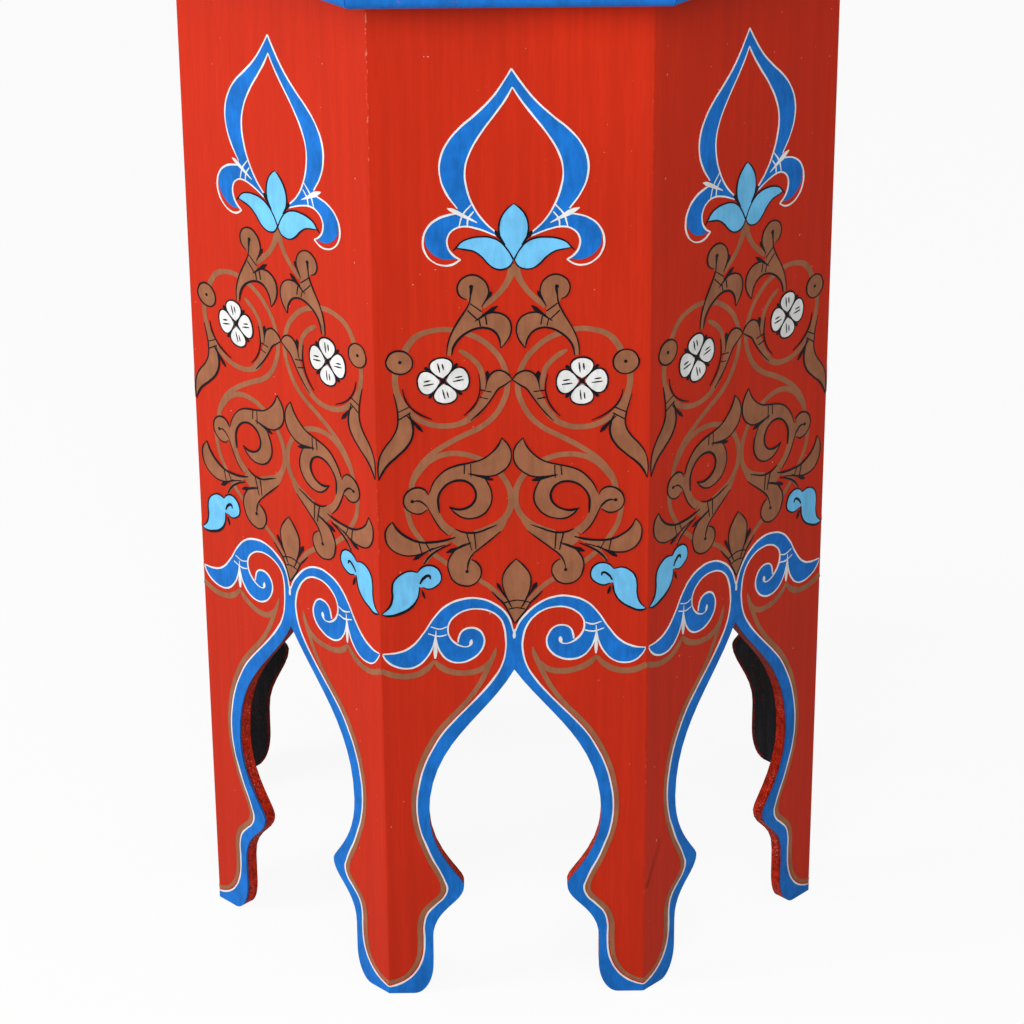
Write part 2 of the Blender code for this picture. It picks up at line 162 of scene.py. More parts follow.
# Brown bud over the arch
BUD_SIDE = [(0, 249.9), (3.7, 246), (6.3, 241.5), (6.7, 237.5), (5.9, 232.8), (4.2, 228)]
BUD_ROOT = [(3.3, 225.8), (2.1, 223.4)]
CUP_SIDE = [(6.5, 226.3), (3.7, 220.9), (0.9, 215.3), (0, 213.8)]
CUP_LINE = [(12, 232.4, 0.5), (9.2, 229.2, 0.8)] + CUP_SIDE
CUP_TIES = [[(0, 227.8, 0.6), (3.4, 227.3, 0.6), (6.5, 226.2, 0.5)],
            [(0, 223.3, 0.6), (2, 223.1, 0.6), (3.9, 222.7, 0.5)]]
BUD_THORN = [(9.4, 237.2), (5.2, 229.5)]

# Blue wave over the arch
WAVE_TOP = [(0, 208), (3.8, 218.5), (10, 225.3), (18.8, 228.9), (27, 228.3), (34, 225), (39.6, 218.8), (44.5, 210.8),
            (51, 202.9), (57, 199.8), (HALF - 0.8, 199)]
WAVE_LOBE = [(HALF - 0.8, 198.5), (61.5, 195.2), (57.8, 192), (52.3, 190.8), (47.3, 192.3), (43.2, 196.4), (40.3, 202),
             (38.8, 208.5)]
VOLUTE = [(38.8, 208.5), (37.6, 202.5), (36.1, 199.1), (32.3, 194.8), (26.8, 193.2), (21.4, 194.5), (17, 198.2),
          (15, 203.2), (15.5, 207.8), (18.2, 211.6), (22.2, 212.5), (25.7, 210.9), (27.4, 207), (27.7, 204.6)]
WAVE_SPIRAL = [(21.3, 206, 0.5), (21.3, 205.2, 1.5), (21.4, 204.2, 2), (21.7, 203.1, 1.5), (22.3, 202.4, 0.7),
               (23.6, 202, 0.55), (25.4, 202.2, 0.65), (28.9, 204.2)]
WAVE_UNDER = [(28.9, 204.2), (31.8, 208), (32.7, 212), (31.9, 216), (28.9, 219.8), (24.1, 222.5), (18.2, 223.1),
              (12.7, 221.7), (8.1, 218), (5.5, 212.7), (4.2, 206), (4.1, 199), (6.2, 190), (10.7, 182), (16.4, 174.5),
              (22.9, 167), (29.1, 160), (35.4, 152), (39.9, 144), (43.9, 135), (46.9, 124), (48.4, 110), (46.7, 96),
              (44.1, 88), (41.1, 80), (37.7, 73), (35.3, 67), (34.1, 62.5), (35.7, 57.5), (39.8, 53), (44, 48),
              (45.8, 42), (45.9, 32), (46.4, 24), (47.8, 18.5), (50.5, 13), (55.1, 8), (60.6, 5), (HALF, 4)]

# Brown stems, each with the brush's width in millimetres
STEMS = [
    (2.6, [(0, 401.5, 4.6), (2.3, 395, 3.2), (5.2, 390), (9.5, 385.3), (14.8, 381)]),
    (2.6, [(50.5, 358.5, 3.1), (49.2, 361, 3.1), (45, 366.2, 2.9), (38.5, 369), (31, 369.8), (23, 368),
           (16.4, 365.2), (10, 360), (5.4, 353.7), (3, 346.5), (2.5, 339), (4.3, 332.3), (8.2, 325), (14.5, 318.9),
           (23.7, 313.7), (32.3, 308.4), (39, 303.2), (44.1, 297.2), (47.4, 290.4), (48.5, 283)]),
    (2.4, [(51, 277), (49, 267.5), (45.5, 261), (40.5, 254), (36, 249.8), (31.5, 246)]),
    (2.4, [(25.2, 359.2, 1.3), (22.5, 357.6, 2.5), (19, 354.9), (15.2, 350), (13.9, 344.5), (13.4, 339)]),
    (2.8, [(12.6, 334, 4.2), (15.5, 328.5, 3.6), (19.5, 323.5, 3.2), (25, 320.2), (32, 319.1), (39, 320.2),
           (45, 323.4), (49.5, 327.5, 3.5), (52.6, 332.5, 3.3), (54.6, 339), (55, 345), (54.4, 348.5)]),
    (2.7, [(47.6, 287.5, 1.4), (46.7, 290.6, 1.9), (44.6, 294.4), (42, 297.8), (38.4, 301.1), (33, 303.8),
           (25, 304.6), (16, 302.2), (9.5, 298), (3.7, 291), (1.1, 283, 3), (2.2, 275, 3), (7, 268.8, 3.2),
           (13, 265.3, 3.4), (19, 262.6, 4)]),
    (1.9, [(36, 256.5), (40.5, 252.5), (43.8, 248.2)]),
    (2.4, [(18.5, 239), (12.8, 235), (8.6, 230.7), (4.8, 226.5, 2)]),
    (2.5, [(8.8, 200.4, 0.5), (9.6, 197, 2.1), (10.9, 193.6), (13.2, 187.8), (18, 178), (24.6, 168.5), (30.8, 161.4),
           (37.2, 153.3), (41.8, 145), (45.8, 135.7, 2.4), (48.7, 124.3, 2.2), (50.1, 110, 2), (48.3, 95.5, 2),
           (45.6, 87.2, 2.1), (42.5, 79, 2.2), (39.1, 72, 2.2), (36.9, 66.7, 2.2), (36.2, 62.4, 2.3),
           (37.2, 58.8, 2.4), (41.1, 54.4), (45.7, 49.1), (47.9, 42.5), (48.1, 32), (48.6, 24.5, 2.3),
           (49.7, 19.5, 2.1), (52.1, 14.6, 1.9), (56.2, 9.9, 1.9), (61.1, 7.2, 2), (HALF, 6.4)]),
    (3.1, [(11.5, 193, 1.6), (16.4, 188.2), (23.2, 186.8), (30, 187.9), (35.9, 191), (39.1, 194.6, 1.6)]),
    (3.1, [(39.1, 194.6, 1.6), (43.2, 190), (48.7, 187), (56.4, 186.5), (HALF, 189.4)]),
]

# White flowers: heart, and lean of the right and the left one
FLOWER_HEART = (32.4, 343.1)
FLOWER_LEANS = {1: math.radians(1), -1: math.radians(8)}

# Half a petal by its length and width, spread of level and upright petals, and the pen's width along its edge
PETAL_SIDE = [(1.5, 0), (2.6, 2), (5, 4.6), (7.4, 6), (9.8, 5.6), (11.6, 3.3), (12.2, 0)]
PETAL_SPREADS = (1.03, 0.9)
PETAL_PRESS = [0.15, 0.2, 0.25, 0.6, 0.8, 0.85, 0.75]

# Pen marks on a petal: from, to and how far aside, with the pen's widths. Leaf between petals: reach and width
PETAL_MARKS = [(4.5, 9.6, 0.9), (5.8, 9.1, -1)]
MARK_LEAN, MARK_PRESS = 0.1, (0.3, 0.8, 0.45)
PETAL_LEAF = [(0.5, 0.8), (4.5, 0.55), (7.5, 0.5), (9.1, 1.4), (10.6, 1.7), (11.3, 0.9)]
PETAL_LEAF_TURNS = (math.radians(47), math.radians(43))

# Brown disc at the corner
KNOB_HEART, KNOB_RADIUS = (52.8, 352.6), 6.1

# Short brush marks, each as its width and its points
OGEE_TIES = [(0.75, [(19.5, 431.5), (23.5, 426.5), (25.4, 420.5)]), (0.75, [(18.5, 428), (21, 424.5), (21.6, 420)])]
WAVE_TIES = [(0.75, [(33.2, 213.5), (36.7, 212.4), (41.2, 213.7)]), (0.75, [(33, 209.2), (37.2, 208.4), (42.5, 210)])]
OGEE_DROP = (2.1, [(30.6, 429.8, 0.4), (28.6, 428.9, 1.9), (26.2, 427.6, 2.2), (22, 425.2, 1.2), (17, 422.4, 0.4)])
LOBE_DROP = (2.1, [(38.6, 211.6, 0.4), (38.8, 205, 1), (38.8, 200.2, 2), (38.8, 198, 1.6), (38.8, 196, 0.7)])
WAVE_DROP = (1.4, [(0, 210.4, 0.6), (0, 208.4, 1.3), (0, 206.8, 1.4), (0, 205.4, 0.8)])

# Short black marks: ties, thorns from their thick end with widths along them, fine lines and dots
TIE_WIDTH = 0.55
BLACK_TIES = [
    [(15.2, 378.8), (20.5, 382.8)],
    [(16.8, 374.6), (21.6, 379.4)],
    [(13.4, 376.5), (12.7, 372.2)],
    [(16.3, 375), (15.5, 371.5)],
    [(9.8, 337.8), (15, 338.6)],
    [(11.4, 334), (15.4, 334.9)],
    [(48.3, 329.2), (53.9, 326.4)],
    [(47.5, 326.2), (53.4, 322.5)],
    [(20, 299.2), (20.2, 292.4)],
    [(23, 298.8), (23.4, 293.8)],
    [(43, 258.8), (40.7, 254)],
    [(46, 258.8), (45, 253.4)],
    [(19.6, 263.2), (19, 254.8)],
    [(23.2, 263.2), (21.1, 254.3)],
]
LOTUS_THORN = [(8.7, 418), (3.7, 411)]
THORN_WIDTHS = ((0.0, 0.5), (0.2, 2.0), (0.5, 1.2), (1.0, 0.35))
THORNS = [
    [(10.9, 388.6), (15.2, 381.4)],
    [(8.1, 381.5), (18.1, 374)],
    [(11.7, 348.6), (11.9, 342.3)],
    [(41.6, 316), (49.4, 325)],
    [(9.2, 290.8), (21.5, 293.9)],
    [(33.4, 253.2), (21.4, 257.8)],
    [(49.1, 249.8), (39.5, 256)],
    BUD_THORN,
    LOTUS_THORN,
]
FINE_LINES = [
    [(31, 257.5), (37.2, 254.6), (41.8, 250.9), (44.3, 247.3)],
    [(46.6, 237, 0.6), (44.7, 240, 1.2), (42.3, 241.2, 1.3), (41.5, 239.5, 0.5)],
    [(45.6, 233.4, 0.5), (45, 231.2, 1.3), (44.3, 229.2, 0.5)],
]
BLACK_DOTS = [(0.95, (20.1, 391)), (0.8, KNOB_HEART), (0.8, (48.1, 280.1)), (0.8, (23.9, 243.4)),
              (1.15, FLOWER_HEART)]

# How many times the plain black lines' width the strong and the fine ones have
STRONG_LINE, FINE_LINE = 1.4, 1.5

# How high each coat of paint stands over the board, in millimetres
COATS = {"rims": 0.06, "stems": 0.12, "leaves": 0.185, "bands": 0.19, "petals": 0.205, "flowers": 0.205,
         "white": 0.225, "black": 0.29, "dots": 0.36}

# Where each coat starts, and the steps in height that keep films and strokes of one coat apart where they cross
FILM_FLOOR, FILM_STEP, FILM_STEPS = 0.004, 0.002, 8
STROKE_STEP, STROKE_STEPS = 0.0035, 17

# Facets between two knots, and how close two points of an outline are the same one
FILM_FACETS, LINE_FACETS, SAME_PLACE = 6, 7, 0.05

# The paint on each slot
PAINTS = {"red_panel_paint": "Red board paint", "brown_paint": "Brown paint", "blue_edge_paint": "Blue paint",
          "light_blue_paint": "Light blue paint", "white_paint": "White paint", "black_line_paint": "Black line paint"}
PAINT_GLOSS = 0.08
SPECK_COLOUR = (0.8, 0.55, 0.48, 1.0)
NICK_COLOUR = (0.62, 0.19, 0.13, 1.0)
# Colour of the painted glints: highlights laid into the cut edges' colour
PAINTED_GLINT_COLOUR = (0.88, 0.42, 0.36, 1.0)

# The hand's drift: a height over everything, under which a pattern stays put, then in metres how far over the
# arch it sets in and is full, how far from the middle line it fades and stops, and how steep the arch's flank is
STEADY = 10.0
ARCH_CLEAR, CORNER_HOLD, ARCH_LEAN = (0.016, 0.045), (0.054, 0.0625), 1.35
SLIP_SEED = 7.3

# Waves per metre of a brush's uneven pressure
PRESSURE_WAVES = 100.0

# Single places in the red: strong end, faint end, and how far off it is full and gone, in metres
NICKED_CORNER = ((-0.0643, -0.1551, 0.526), (-0.0643, -0.1551, 0.43), 0.0003, 0.0016)
DARK_STREAK = ((0.0654, -0.1538, 0.0615), (0.0721, -0.1471, 0.0845), 0.0003, 0.0016)
BRIGHT_RED_PATCH = ((0.037, -0.155, 0.535), (0.045, -0.155, 0.5), 0.008, 0.055)
BRIGHT_RED_GAIN = (1.28, 1.17, 1.0, 1.0)

# The top's ornament: heights in the pattern that come to the middle, a dot by its distance and radius, the rosette,
# and the border's lines by their width and distance
TOP_HEART, TOP_BUD_HEART, HEART_DOT = 538, 368, (2.6, 0.9)
ROSETTE_PETAL = [(0, 533.5), (2.6, 531), (5.2, 524.5), (6.6, 518), (5.6, 512.2), (2.6, 509.2), (0, 510.6)]
ROSETTE_MARK = (0.8, [(1.2, 526.5, 0.3), (1.5, 522, 0.9), (1.6, 517.5, 0.3)])
ROSETTE_LEAF = [(1.2, 535.1, 0.5), (5.5, 524.7, 0.5), (9, 516.3, 2), (11.3, 510.7, 0.5)]
TOP_LINES = {"white": (1.2, 157.5), "brown": (2.6, 153.5), "ring": (2.4, 33.5)}

# The camera: place, pitch, yaw and roll in degrees, and its focal length in pixels of the photograph's frame
CAMERA_PLACE, CAMERA_ANGLES = (-0.01323, -1.76, 1.11), (27.52, 0.45, -0.38)
FOCUS_PIXELS, FRAME_PIXELS, SENSOR = 3826, 1024, 36.0

# Lamps: name, place, target, size and power
LAMPS = [
    ("Side", (-2.1, -0.65, 1.2), (0.0, 0.0, 0.3), 1.0, 33.0),
    ("Front", (0.0, -1.0, 1.0), (0.0, -0.1, 0.3), 0.8, 7.3),
]

# The floor's reach and glow, the world's light, and the rays that see both as white
FLOOR_REACH, FLOOR_GLOW, WORLD_LIGHT = 6.0, 0.92, 0.31
WHITE_LIGHT = (1.0, 1.0, 1.0, 1.0)
SEEN_RAYS = ("Is Camera Ray", "Is Glossy Ray", "Is Transmission Ray")


def back(run):
    return run[::-1]


def is_knot(point):
    """Whether a point comes with handles of its own."""
    return isinstance(point[0], tuple)


def mirrored(run):
    """A run of points on the other half of the board."""
    return [tuple(pair and (-pair[0], pair[1]) for pair in point) if is_knot(point)
            else (-point[0],) + tuple(point[1:]) for point in run]


def both_halves(outlines):
    return [side for outline in outlines for side in (outline, [mirrored(run) for run in outline])]


def turned(point):
    """A point as met from the other end: a knot's handles change places."""
    return (point[0], point[2], point[1]) if is_knot(point) else point


def across(runs):
    """A closed outline from its right half, which starts and ends on the middle line."""
    return runs + [mirrored([turned(point) for point in back(run)]) for run in reversed(runs)]


def circle(heart, radius, count=8):
    turns = [2 * math.pi * index / count for index in range(count)]
    return [(heart[0] + radius * math.cos(turn), heart[1] + radius * math.sin(turn)) for turn in turns]


class Wire:
    """A node's output. Arithmetic on it adds Math nodes."""

    def __init__(self, graph, socket):
        self.graph = graph
        self.socket = socket

    def math(self, operation, *values):
        return self.graph.math(operation, self, *values)

    def __add__(self, other):
        return self.math("ADD", other)

    def __mul__(self, other):
        return self.math("MULTIPLY", other)

    def __sub__(self, other):
        return self.math("SUBTRACT", other)

    def __rsub__(self, other):
        return self.graph.math("SUBTRACT", other, self)

    def __truediv__(self, other):
        return self.math("DIVIDE", other)

    def __gt__(self, other):
        return self.math("GREATER_THAN", other)

    __radd__ = __add__
    __rmul__ = __mul__


class Graph:
    """Adds nodes to a node tree, shader or geometry."""

    def __init__(self, tree):
        self.tree = tree

    def node(self, kind, inputs=None, output=0, **settings):
        """A node of that type. Its settings are made first, then its sockets' values or links."""
        node = self.tree.nodes.new(kind)
        for name, value in settings.items():
            setattr(node, name, value)
        for name, value in (inputs or {}).items():
            if isinstance(value, Wire):
                self.tree.links.new(value.socket, node.inputs[name])
            else:
                node.inputs[name].default_value = value
        return Wire(self, node.outputs[output]) if node.outputs else node

    def math(self, operation, *values):
        return self.node("ShaderNodeMath", dict(enumerate(values)), operation=operation)

    def vector_math(self, operation, *values, output=0):
        return self.node("ShaderNodeVectorMath", dict(enumerate(values)), output, operation=operation)

    def dot(self, first, second):
        return self.vector_math("DOT_PRODUCT", first, second, output="Value")

    def vector(self, *parts):
        return self.node("ShaderNodeCombineXYZ", dict(enumerate(parts)))

    def parts(self, vector):
        """The x, y and z of a vector."""
        node = self.node("ShaderNodeSeparateXYZ", {0: vector}).socket.node
        return [Wire(self, socket) for socket in node.outputs]

    def ease(self, value, low, high):
        """0 below low, 1 above high, with a soft step between."""
        inputs = {"Value": value, "From Min": low, "From Max": high}
        return self.node("ShaderNodeMapRange", inputs, interpolation_type="SMOOTHSTEP")

    def keep(self, geometry, name, value, domain="POINT"):
        """The geometry with a value stored on it under a name."""
        inputs = {"Geometry": geometry, "Name": name, "Value": value}
        return self.node("GeometryNodeStoreNamedAttribute", inputs, domain=domain)

    def kept(self, name):
        return self.node("GeometryNodeInputNamedAttribute", {"Name": name})

    def seen(self):
        """1 on rays from the camera, straight, reflected or through glass."""
        straight, reflected, through = (self.node("ShaderNodeLightPath", None, ray) for ray in SEEN_RAYS)
        return straight.math("MAXIMUM", reflected).math("MAXIMUM", through)


class Finish(Graph):
    """A material in the making."""

    def __init__(self, name):
        self.material = bpy.data.materials.new(name)
        self.material.use_nodes = True
        super().__init__(self.material.node_tree)
        self.tree.nodes.clear()
        self.place = self.node("ShaderNodeTexCoord", None, "Object")

    def grain(self, scales, detail=2.0, roughness=0.5, distortion=0.0):
        """A noise on the object's coordinates, with one scale or one along each axis."""
        place, scale = self.place, scales
        if isinstance(scales, tuple):
            place, scale = self.vector_math("MULTIPLY", self.place, scales), 1.0
        return self.node("ShaderNodeTexNoise", {"Vector": place, "Scale": scale, "Detail": detail,
                                                "Roughness": roughness, "Distortion": distortion})

    def spots(self, low, high, *grain):
        """A grain of which only the peaks are left."""
        return self.ease(self.grain(*grain), low, high)

    def blend(self, share, first, second, how="MIX"):
        """Two colours mixed."""
        return self.node("ShaderNodeMix", {0: share, 6: first, 7: second}, 2, data_type="RGBA", blend_type=how)

    def shades(self, share, paint, dark, light):
        """A paint between its darker and its lighter tone."""
        return self.blend(share, tone(paint, dark), tone(paint, light))

    def layers(self, colour, *coats):
        """A colour with others laid over it, each as its share and its paint."""
        for share, paint in coats:
            colour = self.blend(share, colour, paint)
        return colour

    def close(self, colour, roughness, relief, depth, gloss=PAINT_GLOSS, metal=0.0):
        """Ends the material in a Principled shader, with a relief of that depth."""
        bump = self.node("ShaderNodeBump", {"Height": relief, "Distance": depth, "Strength": 1.0})
        inputs = {"Base Color": colour, "Roughness": roughness, "Normal": bump, "Metallic": metal}
        shader = self.node("ShaderNodeBsdfPrincipled", {**inputs, "Specular IOR Level": gloss})
        self.node("ShaderNodeOutputMaterial", {"Surface": shader})
        return self.material


def tone(colour, factor):
    """A paint made lighter or darker."""
    return tuple(min(1.0, part * factor) for part in colour[:3]) + (1.0,)


def red_gloss(finish, paint):
    """The red as brushed on: long upright streaks, cloudy tone and a few light specks."""
    streaks = finish.grain((260, 260, 5), 3.0, 0.6)
    clouds = finish.grain(9.0, 3.0, 0.55)
    hairs = finish.grain((900, 900, 60))
    colour = finish.layers(
        finish.shades(finish.ease(streaks, 0.32, 0.68), paint, 0.93, 1.08),
        (finish.ease(clouds, 0.35, 0.7) * 0.45, tone(paint, 1.2)),
        (finish.ease(hairs, 0.3, 0.7) * 0.5, tone(paint, 0.92)),
        (finish.spots(0.80, 0.815, 560.0, 1.0) * 0.55, SPECK_COLOUR))
    return colour, 0.36 + streaks * 0.12 + clouds * 0.06, streaks * 0.7 + hairs * 0.3


def smear(finish, start, end, near, far):
    """A smear along a straight line, full up to one distance from it, gone at another, and weaker towards its end."""
    step = Vector(end) - Vector(start)
    away = finish.vector_math("SUBTRACT", finish.place, start)
    along = finish.dot(away, tuple(step / step.length_squared)).math("MAXIMUM", 0.0).math("MINIMUM", 1.0)
    line = finish.vector_math("MULTIPLY", tuple(step), finish.vector(along, along, along))
    off = finish.vector_math("DISTANCE", away, line, output="Value")
    return (1 - finish.ease(off - along * 0.0008, near, far)) * (1 - along * 0.75)


def board_finish(colours):
    """Red outside and on the cut edges, black inside with red spray at the edges."""
    finish = Finish("Red board paint")
    red = colours.red
    colour, rough, streaks = red_gloss(finish, red)
    x, y, z = finish.parts(finish.place)
    turn = (x.math("ARCTAN2", 0 - y) / SECTOR).math("ROUND") * SECTOR
    sine, cosine = turn.math("SINE"), turn.math("COSINE")
    outward = finish.vector(sine, 0 - cosine, 0.0)
    facing = finish.dot(finish.node("ShaderNodeNewGeometry", None, "True Normal"), outward)
    aside = finish.dot(finish.place, finish.vector(cosine, sine, 0.0)).math("ABSOLUTE")
    depth = FACE - finish.dot(finish.place, outward)

    # A brighter, more saturated red at the upper right of the front board
    colour = finish.blend(smear(finish, *BRIGHT_RED_PATCH), colour, BRIGHT_RED_GAIN, "MULTIPLY")

    # Corners: nicked here and there, most of all at the front left near the top, and one dark streak on the right
    # board's leg
    near_corner = finish.ease(aside, HALF * MM - 0.0008, HALF * MM - 0.0002)
    knocks = near_corner * (finish.spots(0.58, 0.66, 7.0) * 0.3).math("MAXIMUM", smear(finish, *NICKED_CORNER))
    nicks = finish.grain((520, 520, 330), 2.0, 0.6)
    colour = finish.layers(
        colour,
        (knocks * finish.ease(nicks, 0.58, 0.65), NICK_COLOUR),
        (knocks * (1 - finish.ease(nicks, 0.33, 0.40)), tone(red, 0.35)),
        (smear(finish, *DARK_STREAK) * 0.6, tone(red, 0.3)))

    # Cut edges: a thick rough coat with painted glints (highlights laid into the colour), painted shade at the arch's
    # top and next to the face, and blue where it laps over
    saw = finish.grain(1000.0, 3.0, 0.7)
    patch = finish.grain(260.0, 2.0, 0.6)
    cut = finish.layers(
        finish.shades(finish.ease(saw * 0.6 + patch * 0.4, 0.38, 0.58), red, 0.4, 1.3),
        (finish.spots(0.62, 0.71, 1200.0, 1.0) * finish.spots(0.42, 0.62, 60.0) * 0.75, PAINTED_GLINT_COLOUR),
        # Painted shade: the cut edge darkens towards the arch's top, where it faces down
        (finish.ease(z, 0.115, 0.165) * 0.8, tone(red, 0.3)),
        # Painted shade: a dark strip on the cut edge next to the face
        ((1 - finish.ease(depth, 0.0009, 0.0026)) * 0.7, tone(red, 0.25)),
        (1 - finish.ease(depth - patch * 0.0014, 0.0, 0.0003), tone(colours.blue, 0.75)))

    # Inside: black brush coat with red spray
    spray = finish.ease(finish.grain(520.0, 2.0, 0.7) + finish.grain(24.0) * 0.35, 0.83, 0.88)
    brushed = finish.spots(0.35, 0.75, (150, 150, 25), 3.0, 0.6)
    inside = finish.layers(finish.shades(brushed, colours.inside, 0.8, 2.6), (spray * 0.7, tone(red, 0.4)))

    is_face, is_inside = (finish.ease(way, 0.55, 0.75) for way in (facing, 0 - facing))
    colour = finish.layers(cut, (is_face, colour), (is_inside, inside))
    rough = rough * is_face + (0.5 + saw * 0.3) * (1 - is_face)
    relief = streaks * is_face * 0.3 + (1 - is_face) * saw * 3.0
    return finish.close(colour, rough, relief, 0.0002)


def rim_finish(colours):
    """Red that lapped over from the cut edges on to the black."""
    finish = Finish("Red on the inner rims")
    dabs = finish.grain(380.0, 3.0, 0.7)
    colour = finish.blend(finish.ease(dabs, 0.38, 0.58), tone(colours.inside, 1.0), tone(colours.red, 0.5))
    return finish.close(colour, 0.5 + dabs * 0.2, dabs, 0.0001)


def inside_finish(colours):
    """The black coat on blocks and cleats."""
    finish = Finish("Black inside paint")
    brush = finish.grain((180, 180, 20), 3.0, 0.6)
    spray = finish.spots(0.66, 0.72, 520.0, 2.0, 0.7)
    colour = finish.layers(finish.shades(brush, colours.inside, 0.8, 1.8), (spray * 0.5, tone(colours.red, 0.4)))
    return finish.close(colour, 0.55 + brush * 0.2, brush, 0.0003, gloss=0.35)


def top_finish(colours):
    """The red of the top, brushed across, with wear from use."""
    finish = Finish("Red top paint")
    streaks = finish.grain((5, 260, 260), 3.0, 0.6)
    scuffs = finish.spots(0.68, 0.76, (40, 130, 130), 4.0, 0.7)
    colour = finish.layers(
        finish.shades(finish.ease(streaks, 0.3, 0.75) * 0.5, colours.red, 0.93, 1.12),
        (finish.spots(0.35, 0.7, 8.0, 3.0, 0.55) * 0.45, tone(colours.red, 1.18)),
        (scuffs * 0.25, tone(colours.red_worn, 1.0)))
    return finish.close(colour, 0.34 + streaks * 0.12 + scuffs * 0.2, streaks, 0.00006)


def coat_finish(name, paint, streak=0.16, worn=None):
    """A coat of hand-laid colour: uneven tone, brush streaks and a slight relief."""
    finish = Finish(name)
    brush = finish.grain((420, 420, 90), 2.0, 0.6, 0.4)
    mixed = finish.ease(finish.grain(70.0, 3.0, 0.6) * 0.6 + brush * 0.4, 0.32, 0.68)
    colour = finish.shades(mixed, paint, 1 - streak, 1 + streak)
    if worn is not None:
        colour = finish.blend(finish.spots(0.66, 0.72, 260.0, 4.0, 0.75) * 0.5, colour, tone(worn, 1.0))
    return finish.close(colour, 0.42 + brush * 0.16, brush, 0.00005)


def steel_finish():
    """Zinc on the screws and brads."""
    finish = Finish("Zinc steel")
    bloom = finish.grain(900.0, 3.0, 0.6)
    colour = finish.blend(bloom, (0.42, 0.43, 0.45, 1.0), (0.62, 0.62, 0.60, 1.0))
    return finish.close(colour, 0.32 + bloom * 0.25, bloom, 0.00004, gloss=0.5, metal=1.0)


def new_tree(name, sizes, others=None):
    """An empty geometry tree with its named inputs: sizes, and others with their types."""
    tree = bpy.data.node_groups.new(name, "GeometryNodeTree")
    kinds = {"Geometry": "Geometry", **dict.fromkeys(sizes, "Float"), **(others or {})}
    for label, kind in kinds.items():
        tree.interface.new_socket(label, in_out="INPUT", socket_type="NodeSocket" + kind)
    tree.interface.new_socket("Geometry", in_out="OUTPUT", socket_type="NodeSocketGeometry")
    graph = Graph(tree)
    entry = tree.nodes.new("NodeGroupInput")
    return graph, {socket.name: Wire(graph, socket) for socket in entry.outputs if socket.name}


def brush_tree():
    """Turns drawn lines into flat brush strokes, each as wide as its points say."""
    graph, given = new_tree("Brush strokes", ("Underside", "Upper Side", "Pressure"))
    place = graph.node("GeometryNodeInputPosition")
    x, y, z = graph.parts(place)
    lines = graph.keep(given["Geometry"], "lift", z)
    flat = graph.node("GeometryNodeSetCurveNormal", {"Curve": lines}, mode="Z_UP")
    bristle = graph.node("GeometryNodeCurvePrimitiveQuadrilateral", {"Width": 2.0, "Height": 2.0})
    uneven = graph.node("ShaderNodeTexNoise", {"Vector": place, "Scale": PRESSURE_WAVES})
    width = graph.node("GeometryNodeInputRadius") * (1 + (uneven - 0.5) * given["Pressure"])
    inputs = {"Curve": flat, "Profile Curve": bristle, "Scale": width, "Fill Caps": True}
    ribbon = graph.node("GeometryNodeCurveToMesh", inputs)
    lift = graph.kept("lift")
    level = given["Underside"] + (z > lift) * (given["Upper Side"] + lift - given["Underside"])
    result = graph.node("GeometryNodeSetPosition", {"Geometry": ribbon, "Position": graph.vector(x, y, level)})
    graph.node("NodeGroupOutput", {"Geometry": result})
    return graph.tree


def round_tree():
    """Repeats one board's pattern on every side, with the drift of a hand that draws each anew."""
    sizes = ("Tilt", "First Turn", "Drift", "Drift Scale", "Slip", "Slip Scale", "Arch Top", "Seed")
    graph, given = new_tree("Round the sides", sizes, {"Sides": "Int", "Shift": "Vector", "Paint": "Material"})
    place = graph.node("GeometryNodeInputPosition")
    x, y, _ = graph.parts(place)
    aside = x.math("ABSOLUTE")

    # The arch's band keeps to its edge, and what meets at a corner moves only up or down
    free = graph.ease(y + aside * ARCH_LEAN - given["Arch Top"], *ARCH_CLEAR)
    marked = graph.keep(given["Geometry"], "free", free)
    marked = graph.keep(marked, "loose", free * (1 - graph.ease(aside, *CORNER_HOLD)))
    lean = graph.node("FunctionNodeEulerToRotation", {0: graph.vector(given["Tilt"], 0.0, 0.0)})
    inputs = {"Geometry": marked, "Translation": given["Shift"], "Rotation": lean}
    stood = graph.node("GeometryNodeTransform", inputs)

    dots = graph.node("GeometryNodePoints", {"Count": given["Sides"]})
    angle = graph.node("GeometryNodeInputIndex") * (2 * math.pi) / given["Sides"] + given["First Turn"]
    turn = graph.node("FunctionNodeEulerToRotation", {0: graph.vector(0.0, 0.0, angle)})
    copies = graph.node("GeometryNodeInstanceOnPoints", {"Points": dots, "Instance": stood, "Rotation": turn})
    copies = graph.keep(copies, "turn", angle, "INSTANCE")
    real = graph.node("GeometryNodeRealizeInstances", {"Geometry": copies})

    right, up = 0.0, 0.0
    for amount, later in (("Drift", 0.0), ("Slip", SLIP_SEED)):
        inputs = {"Vector": place, "W": given["Seed"] + later, "Scale": given[amount + " Scale"], "Detail": 1.0}
        wander = graph.node("ShaderNodeTexNoise", inputs, "Color", noise_dimensions="4D")
        first, second, _ = graph.parts(wander)
        right = (first - 0.5) * given[amount] + right
        up = (second - 0.5) * given[amount] + up
    right = right * graph.kept("loose")
    up = up * graph.kept("free")
    sine, cosine = (graph.kept("turn").math(way) for way in ("SINE", "COSINE"))
    rise, level = (given["Tilt"].math(way) for way in ("SINE", "COSINE"))
    offset = graph.vector(right * cosine - up * sine * level, right * sine + up * cosine * level, up * rise)
    moved = graph.node("GeometryNodeSetPosition", {"Geometry": real, "Offset": offset})
    painted = graph.node("GeometryNodeSetMaterial", {"Geometry": moved, "Material": given["Paint"]})
    graph.node("NodeGroupOutput", {"Geometry": painted})
    return graph.tree


TREES = {}


